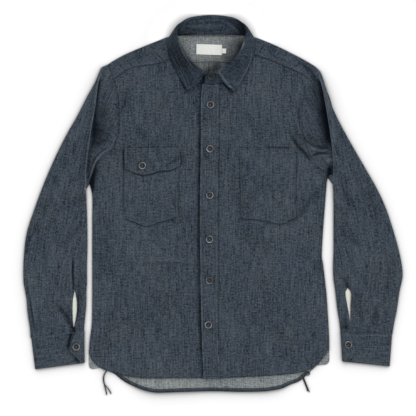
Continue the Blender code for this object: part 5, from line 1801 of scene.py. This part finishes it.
def taken(obj, name):
    """Leave edit mode and hand over the object's mesh, which serves as a form for copies."""
    bpy.ops.object.mode_set(mode="OBJECT")
    bpy.ops.object.transform_apply(location=True, rotation=True, scale=True)
    mesh = obj.data
    mesh.name = name
    bpy.data.objects.remove(obj)
    return mesh


def button_form():
    """A button with a raised rim, a dished middle and four holes, standing on its back."""
    obj = cylinder(40, BUTTON_RADIUS, BUTTON_SIDE, (0, 0, BUTTON_LIFT + BUTTON_SIDE / 2))
    for steps, up in ((BUTTON_FACE, 1), (BUTTON_BACK, -1)):
        pick_faces(obj, lambda centre, normal: normal.z * up > 0.9)
        for inward, rise in steps:
            bpy.ops.mesh.inset(thickness=inward * MM, depth=rise * MM)
    places = [(x * HOLE_PLACE, y * HOLE_PLACE, 1) for y in (-1, 1) for x in (-1, 1)]
    drill = joined([cylinder(12, HOLE_RADIUS, 6, place) for place in places])
    alone()
    bpy.context.view_layer.objects.active = obj
    obj.select_set(True)
    cut = obj.modifiers.new("holes", "BOOLEAN")
    cut.operation, cut.object, cut.solver = "DIFFERENCE", drill, "EXACT"
    bpy.ops.object.modifier_apply(modifier="holes")
    bpy.data.objects.remove(drill)
    mesh = taken(obj, "button form")
    tint_and_highlight = mesh.attributes.new("tint_and_highlight", "FLOAT", "POINT")
    shade = mesh.attributes.new("shade", "FLOAT", "POINT")
    for v in mesh.vertices:
        r, z = math.hypot(v.co.x, v.co.y) / MM, v.co.z / MM
        # The raised rim takes a pale tint, partly the rim's own tone and partly painted highlight; painted shade
        # darkens the dished middle and the foot outside the rim
        tint_and_highlight.data[v.index].value = float(smooth((r - 5.5) / 0.6) * smooth((7.6 - r) / 0.5) * (z > 1.7))
        shade.data[v.index].value = max(0.9 * float(smooth((4.9 - r) / 1.2)), 0.7 * (r > 7.6))
    return mesh


def strand_form(name, radius, length, sides=5, flat=0.8):
    """A short twist of thread whose ends narrow and dip down, lying along x."""
    obj = cylinder(sides, radius, length * 0.6, rotation=(0, math.pi / 2, 0))
    for way in (-1, 1):
        pick_faces(obj, lambda centre, normal: normal.x * way > 0.9)
        reach = (way * length * 0.2 * MM, 0, -radius * 0.75 * MM)
        bpy.ops.mesh.extrude_region_move(TRANSFORM_OT_translate={"value": reach})
        middle = (way * length * 0.5 * MM, 0, -radius * 0.75 * MM)
        bpy.ops.transform.resize(value=(1, 0.55, 0.55), center_override=middle)
    bpy.ops.mesh.select_all(action="SELECT")
    bpy.ops.transform.resize(value=(1, 1, flat), center_override=(0, 0, 0))
    return taken(obj, name)


def buttonhole_form():
    """A long ring of thread, drawn out from a round one."""
    alone()
    bpy.ops.mesh.primitive_torus_add(
        major_segments=20, minor_segments=6, major_radius=1.5 * MM, minor_radius=0.65 * MM
    )
    obj = bpy.context.object
    bpy.ops.object.mode_set(mode="EDIT")
    for way in (-1, 1):
        pick_faces(obj, lambda centre, normal: centre.y * way > 0)
        bpy.ops.transform.translate(value=(0, way * 6.6 * MM, 0))
    bpy.ops.mesh.select_all(action="SELECT")
    bpy.ops.transform.resize(value=(0.8, 1, 0.45), center_override=(0, 0, 0))
    return taken(obj, "buttonhole form")


def copies(name, form, places, material, slot):
    """One piece of many copies of a form. Each place is a 4 by 4 matrix."""
    corners = np.array([v.co[:] for v in form.vertices])
    faces = [tuple(face.vertices) for face in form.polygons]
    verts, polygons = [], []
    for n, place in enumerate(places):
        turn = np.array(place)
        verts.append(corners @ turn[:3, :3].T + turn[:3, 3])
        polygons += [tuple(v + n * len(corners) for v in face) for face in faces]
    mesh = bpy.data.meshes.new(name)
    mesh.from_pydata(np.vstack(verts).tolist(), [], polygons)
    mesh.shade_smooth()
    return ready(own(linked(name, mesh), material), slot)


def finder(*names):
    """Finds the topmost cloth of some pieces below a place: the point in metres and the way it faces."""
    graph = bpy.context.evaluated_depsgraph_get()
    trees = [BVHTree.FromObject(made[name], graph) for name in names]

    def find(place):
        start = Vector((point(place[0], place[1], 90) - MIDDLE) * MM)
        hits = [tree.ray_cast(start, Vector((0, 0, -1))) for tree in trees]
        hits = [hit for hit in hits if hit[0] is not None and hit[1].z > 0.2]
        return max(hits, key=lambda hit: hit[0].z)[:2] if hits else None

    return find


def seated(here, ahead, normal, lift=0.0):
    """A place on the cloth that looks along the seam."""
    along = (ahead - here).normalized()
    up = (normal - along * normal.dot(along)).normalized()
    place = Matrix((along, up.cross(along), up)).transposed().to_4x4()
    place.translation = here + up * lift * MM
    return place


def stitches(find, *paths, pitch=STITCH_PITCH):
    """Places for stitches along paths in plan, where the cloth below them is smooth."""
    found = []
    for path in paths:
        path = np.array([point(*p[:2]) for p in path])
        total = np.linalg.norm(np.diff(path, axis=0), axis=1).sum()
        line = curve(path, max(2, round(total / pitch)))
        for a, b in zip(line, line[1:]):
            here, ahead = find(lerp(a, b, 0.5)), find(lerp(a, b, 0.8))
            if here and ahead and abs(here[0].z - ahead[0].z) < 0.0007:
                found.append(seated(here[0], ahead[0], here[1], 0.06))
    return found


def inset_path(path, distance):
    """A path moved sideways, for a row of stitches beside an edge."""
    return moved(in_plan(path), distance)


def toward_middle(path, distance):
    """A path moved sideways to the side that is nearer to the shirt's middle."""
    sides = [inset_path(path, way * distance) for way in (1, -1)]
    return min(sides, key=lambda p: abs(p[len(p) // 2][0]))


def front_rows():
    """Rows of stitches on the fronts: beside the hems, the yoke's seams and the armholes."""
    rows = []
    for side in (LEFT, RIGHT):
        inward = -OUTWARD[side]
        rows.append(inset_path(curve(in_plan(FRONT_HEM[side]), 24)[:, :2], inward * HEM_STITCHES))
        seam = yoke_front_seam(side, SEAM_STEPS)
        rows += [moved(seam, inward * distance) for distance in SEAM_STITCHES]
        rows.append(toward_middle(ARMHOLES[side][1:-2], EDGE_STITCHES))
    return rows


def pocket_rows(side):
    """Rows of stitches on a pocket: its sewn edges, and on the right one its top hem and a narrow pocket."""
    (left, right), lower = POCKET[side]
    low = curve(in_plan(lower), 24)[:, :2]
    edge = [(left[0] + EDGE_STITCHES, y) for y in np.linspace(left[1] - 2, low[0][1] + 4, 12)]
    far = [(right[0] - EDGE_STITCHES, y) for y in np.linspace(low[-1][1] + 4, right[1] - 2, 12)]
    rows = [edge, inset_path(low[1:-1], EDGE_STITCHES), far]
    if side == RIGHT:
        rows.append([(left[0] + 4, left[1] - 26), (right[0] - 4, right[1] - 26)])
        rows.append([(left[0] + 67, left[1] - 24), (left[0] + 67, left[1] - 100)])
    return rows


def flap_rows():
    """Rows of stitches on the flap: its lower edge, its top and its two ends."""
    low = curve(in_plan(FLAP[1]), 24)[:, :2]
    ends = [[(-171.8, 494), (-171, 459)], [(-63.3, 494), (-62.3, 466)]]
    return [inset_path(low[1:-1], EDGE_STITCHES), [(-171, 496), (-63, 496)], *ends]


def cuff_rows(side):
    """Rows of stitches on a cuff: along its two edges and round its tab."""
    outer_top, inner_top, outer_low, inner_low = in_plan(CUFF_CORNERS[side])
    top, low = [[lerp(a, b, 0.03), lerp(a, b, 0.93)] for a, b in ((outer_top, inner_top), (outer_low, inner_low))]
    tab = []
    for place, reach in CUFF_TAB[side]:
        outer, inner = lerp(outer_top, outer_low, place), lerp(inner_top, inner_low, place)
        tab.append(inner + unit(outer - inner) * (reach - 3.0))
    return [np.array(top) - point(0, 3.0), np.array(low) + point(0, 3.4), tab[:4], tab[3:]]


def inside_rows():
    """Rows inside the shirt: below the yoke's back seam and on the back hem's strip."""
    seam = np.array([p for p in back_seam_points() if abs(p[0]) < 75])
    return [moved(seam, 2.4), moved(seam, 6.4), moved(strip_line(), HEM_STRIP - 1.2)]


def buttonhole_place(find, x, y):
    """A place on the cloth that is turned as the shirt is."""
    here, ahead = find((x, y)), find((x + 1, y))
    return seated(here[0], ahead[0], here[1])


def sewing():
    """All the stitches and the buttonholes, as joined pieces."""
    stitch = strand_form("stitch form", 0.3, 2.2)
    fronts = finder("front_left_cloth", "front_right_cloth", "button_strip_cloth", "yoke_cloth")
    patches = finder("pocket_left_cloth", "pocket_right_cloth", "pocket_flap_cloth")
    cuffs = finder("cuff_left_cloth", "cuff_right_cloth")
    inside = finder("yoke_cloth", "back_cloth", "back_hem_cloth", "label_cloth")
    neck = finder("collar_leaf_cloth", "collar_stand_cloth")
    ys = np.linspace(14, 622, 60)
    left, right = placket_edges(ys)
    strip = [np.stack((x, ys), -1) for x in (left + STRIP_STITCHES, right - STRIP_STITCHES)]
    x0, y0, x1, y1 = LABEL
    ends = [[(x, y0 + 1), (x, y1 - 1)] for x in (x0 + 1.5, x1 - 1.5)]
    sewn = [rows(side) for rows in (pocket_rows, cuff_rows) for side in (LEFT, RIGHT)]
    for name, places, material, slot in (
        ("body_stitches", stitches(fronts, *strip, *front_rows()), "indigo thread", "denim"),
        ("pocket_stitches", stitches(patches, *sewn[0], *sewn[1], *flap_rows()), "indigo thread", "denim"),
        ("cuff_stitches", stitches(cuffs, *sewn[2], *sewn[3]), "indigo thread", "denim"),
        ("inside_stitches", stitches(inside, *inside_rows()), "grey thread", "denim_inside"),
        ("label_stitches", stitches(inside, *ends, pitch=2.4), "pale thread", "label"),
        ("collar_stitches", stitches(neck, *COLLAR_STITCHING), "indigo thread", "collar_denim"),
    ):
        copies(name, stitch, places, material, slot)
    places = [buttonhole_place(fronts, x, y - 4.5) for x, y in PLACKET_BUTTONS]
    places.append(buttonhole_place(patches, FLAP_BUTTON[0], FLAP_BUTTON[1] - 4))
    copies("buttonholes", buttonhole_form(), places, "indigo thread", "denim")


def buttons(band):
    """All the buttons, seated on the topmost cloth. The collar's one lies on the slope of its band."""
    form = button_form()
    bar = strand_form("button thread form", 0.36, 3.4, 6, 1.0)
    cloths = finder("button_strip_cloth", "pocket_flap_cloth", "cuff_left_cloth", "cuff_right_cloth")
    spots = [(f"button_{n + 1}", place) for n, place in enumerate(PLACKET_BUTTONS)]
    spots += [("button_flap", FLAP_BUTTON)]
    spots += [("button_cuff_" + SIDES[side], CUFF_BUTTONS[side]) for side in (LEFT, RIGHT)]
    seats = []
    for name, (x, y) in spots:
        height = max(cloths((x + dx, y + dy))[0].z for dx in (-4, 0, 4) for dy in (-4, 0, 4)) + BUTTON_CLEAR
        middle = (point(x, y) - MIDDLE) * MM
        seats.append((name, Matrix.Translation((middle[0], middle[1], height)), "button shell"))
    foot, top = band[6], band[-1]
    slope = math.atan2(top[2] - foot[2], top[1] - foot[1])
    rise = (COLLAR_BUTTON[1] - foot[1]) * math.tan(slope)
    clear = (DOUBLE / 2 + GAP) / math.cos(slope)
    middle = (point(*COLLAR_BUTTON, foot[2] + rise + clear) - MIDDLE) * MM
    # The collar's button takes the darker copy of the button material, as painted shade under the collar
    seats.append(("button_collar", Matrix.Translation(middle) @ Matrix.Rotation(slope, 4, "X"), "button in painted shade"))
    bars = []
    for n, (name, seat, material) in enumerate(seats):
        mesh = form.copy()
        mesh.transform(seat @ Matrix.Rotation(0.3 * lattice(float(n), 0.7, 5), 4, "Z"))
        mesh.shade_smooth()
        ready(own(linked(name + "_shell", mesh), material), "button", name)
        turn = 0.5 * float(lattice(float(n), 0.7, 9))
        for side in (-1, 1):
            lie = Matrix.Translation((0, side * HOLE_PLACE * MM, 1.25 * MM))
            bars.append(seat @ Matrix.Rotation(turn, 4, "Z") @ lie)
    copies("button_threads", bar, bars[:-2], "grey thread", "button")
    copies("collar_button_thread", bar, bars[-2:], "indigo thread", "button")


def thread_tails():
    """Loose ends of thread at the corners of the back hem."""
    tails = []
    for tail in THREAD_TAILS:
        obj = cylinder(6, TAIL_RADIUS, 1.0, point(*tail[0], TAIL_START) - MIDDLE, (math.pi / 2, 0, 0))
        line = curve(in_plan(tail), 14)
        steps = np.arange(15.0)
        line[:, 2] = 1.0 + 0.5 * lattice(steps, 2.5, len(tail)) + 0.8 * np.exp(-steps / 3)
        pick_faces(obj, lambda centre, normal: normal.y < -0.9)
        for a, b in zip(line, line[1:]):
            bpy.ops.mesh.extrude_region_move(TRANSFORM_OT_translate={"value": tuple((b - a) * MM)})
        tip = (line[-1] - MIDDLE) * MM
        bpy.ops.transform.resize(value=(0.5, 1, 0.5), center_override=tuple(tip))
        bpy.ops.object.mode_set(mode="OBJECT")
        tails.append(obj)
    obj = joined(tails)
    obj.name = "thread_tails"
    obj.data.materials.clear()
    own(obj, "loose thread")
    bpy.ops.object.shade_smooth()
    obj.select_set(False)
    ready(obj, "denim")


# The surroundings


KEY_FROM = (0.6, 0.66, 0.72)
# The floor's colour takes a painted shadow close to the shirt, on the side that this direction looks away from
SHADE_REACH, SHADE_WAY, SHADE_POWER = 0.03, (0.62, 0.78, 0.10), 1.55
# Where the floor round the raised collar glows, as painted light, one over its size across and along, and how much
GLOW_CENTRE = (-0.003, 0.3295, 0)
GLOW_SIZE = (10.9, 16.0, 1)
GLOW = 0.5


def sun_light(name, come_from, angle, strength):
    """A wide, soft light from one direction."""
    lamp = bpy.data.lights.new(name, "SUN")
    lamp.angle = angle
    lamp.energy = strength
    obj = linked(name, lamp)
    obj.rotation_euler = (-Vector(come_from)).to_track_quat("-Z", "Y").to_euler()


def surroundings():
    """The pale floor with a painted shadow beside the shirt and a painted glow round the collar, an even studio
    round it, and the window's light.
    """
    bpy.ops.object.select_all(action="DESELECT")
    bpy.ops.mesh.primitive_plane_add(size=12, location=(0, 0, 0))
    floor = bpy.context.object
    floor.name = "floor"
    tree, shader = new_material("pale floor", 0.9)
    spot = node_of(tree, "ShaderNodeTexCoord").outputs["Object"]
    tone = noise_of(tree, spot, 3, 2.0, 0.5)
    pale = colour_mix(tree, tone, (0.90, 0.90, 0.90, 1), (0.94, 0.94, 0.94, 1))
    near = node_of(tree, "ShaderNodeAmbientOcclusion", {"samples": 24}, Distance=SHADE_REACH, Normal=SHADE_WAY)
    lit = math_of(tree, "POWER", near.outputs["AO"], SHADE_POWER)
    away = vector_math(tree, "SUBTRACT", spot, GLOW_CENTRE)
    far = vector_math(tree, "LENGTH", stretched(tree, away, *GLOW_SIZE))
    fall = node_of(tree, "ShaderNodeMapRange", {"interpolation_type": "SMOOTHSTEP"}, Value=far)
    feed(tree, fall, From_Min=1.0, From_Max=1.5, To_Min=1.0, To_Max=0.0)
    glow = math_of(tree, "MULTIPLY", fall.outputs[0], math_of(tree, "POWER", near.outputs["AO"], 2.0))
    base = colour_mix(tree, lit, BLACK, pale)
    feed(tree, shader, Base_Color=base, Emission_Color=colour_mix(tree, glow, BLACK, WHITE), Emission_Strength=GLOW)
    own(floor, "pale floor")
    world = bpy.data.worlds.new("studio")
    bpy.context.scene.world = world
    world.use_nodes = True
    feed(world.node_tree, world.node_tree.nodes["Background"], Color=WHITE, Strength=0.74)
    sun_light("window light", KEY_FROM, math.radians(110), 1.8)
    bpy.context.scene.view_settings.view_transform = "Standard"


SENSOR = 36
VIEW_WIDTH = 0.8528
VIEW_HEIGHT = 6.0
VIEW_CENTRE = (-0.0101, -0.0103)


def camera():
    """A camera high above that looks straight down."""
    lens = bpy.data.cameras.new("camera")
    lens.sensor_width = SENSOR
    lens.lens = SENSOR * VIEW_HEIGHT / VIEW_WIDTH
    lens.clip_end = 30
    obj = linked("camera", lens)
    obj.location = (*VIEW_CENTRE, VIEW_HEIGHT)
    bpy.context.scene.camera = obj


camera()
surroundings()
back_panel()
for side in (LEFT, RIGHT):
    front_panel(side)
yoke()
button_strip()
for side in (LEFT, RIGHT):
    patch("pocket_" + SIDES[side], side, POCKET[side], 1)
    gusset(side)
patch("pocket_flap", LEFT, FLAP, 2)
hem_strip()
band = collar()
for side in (LEFT, RIGHT):
    sleeve(side)
    self_edge(side)
    cuff(side)
size_tab = tag("size_tab", SIZE_TAB)
label = tag("label", LABEL)
buttons(band)
sewing()
thread_tails()
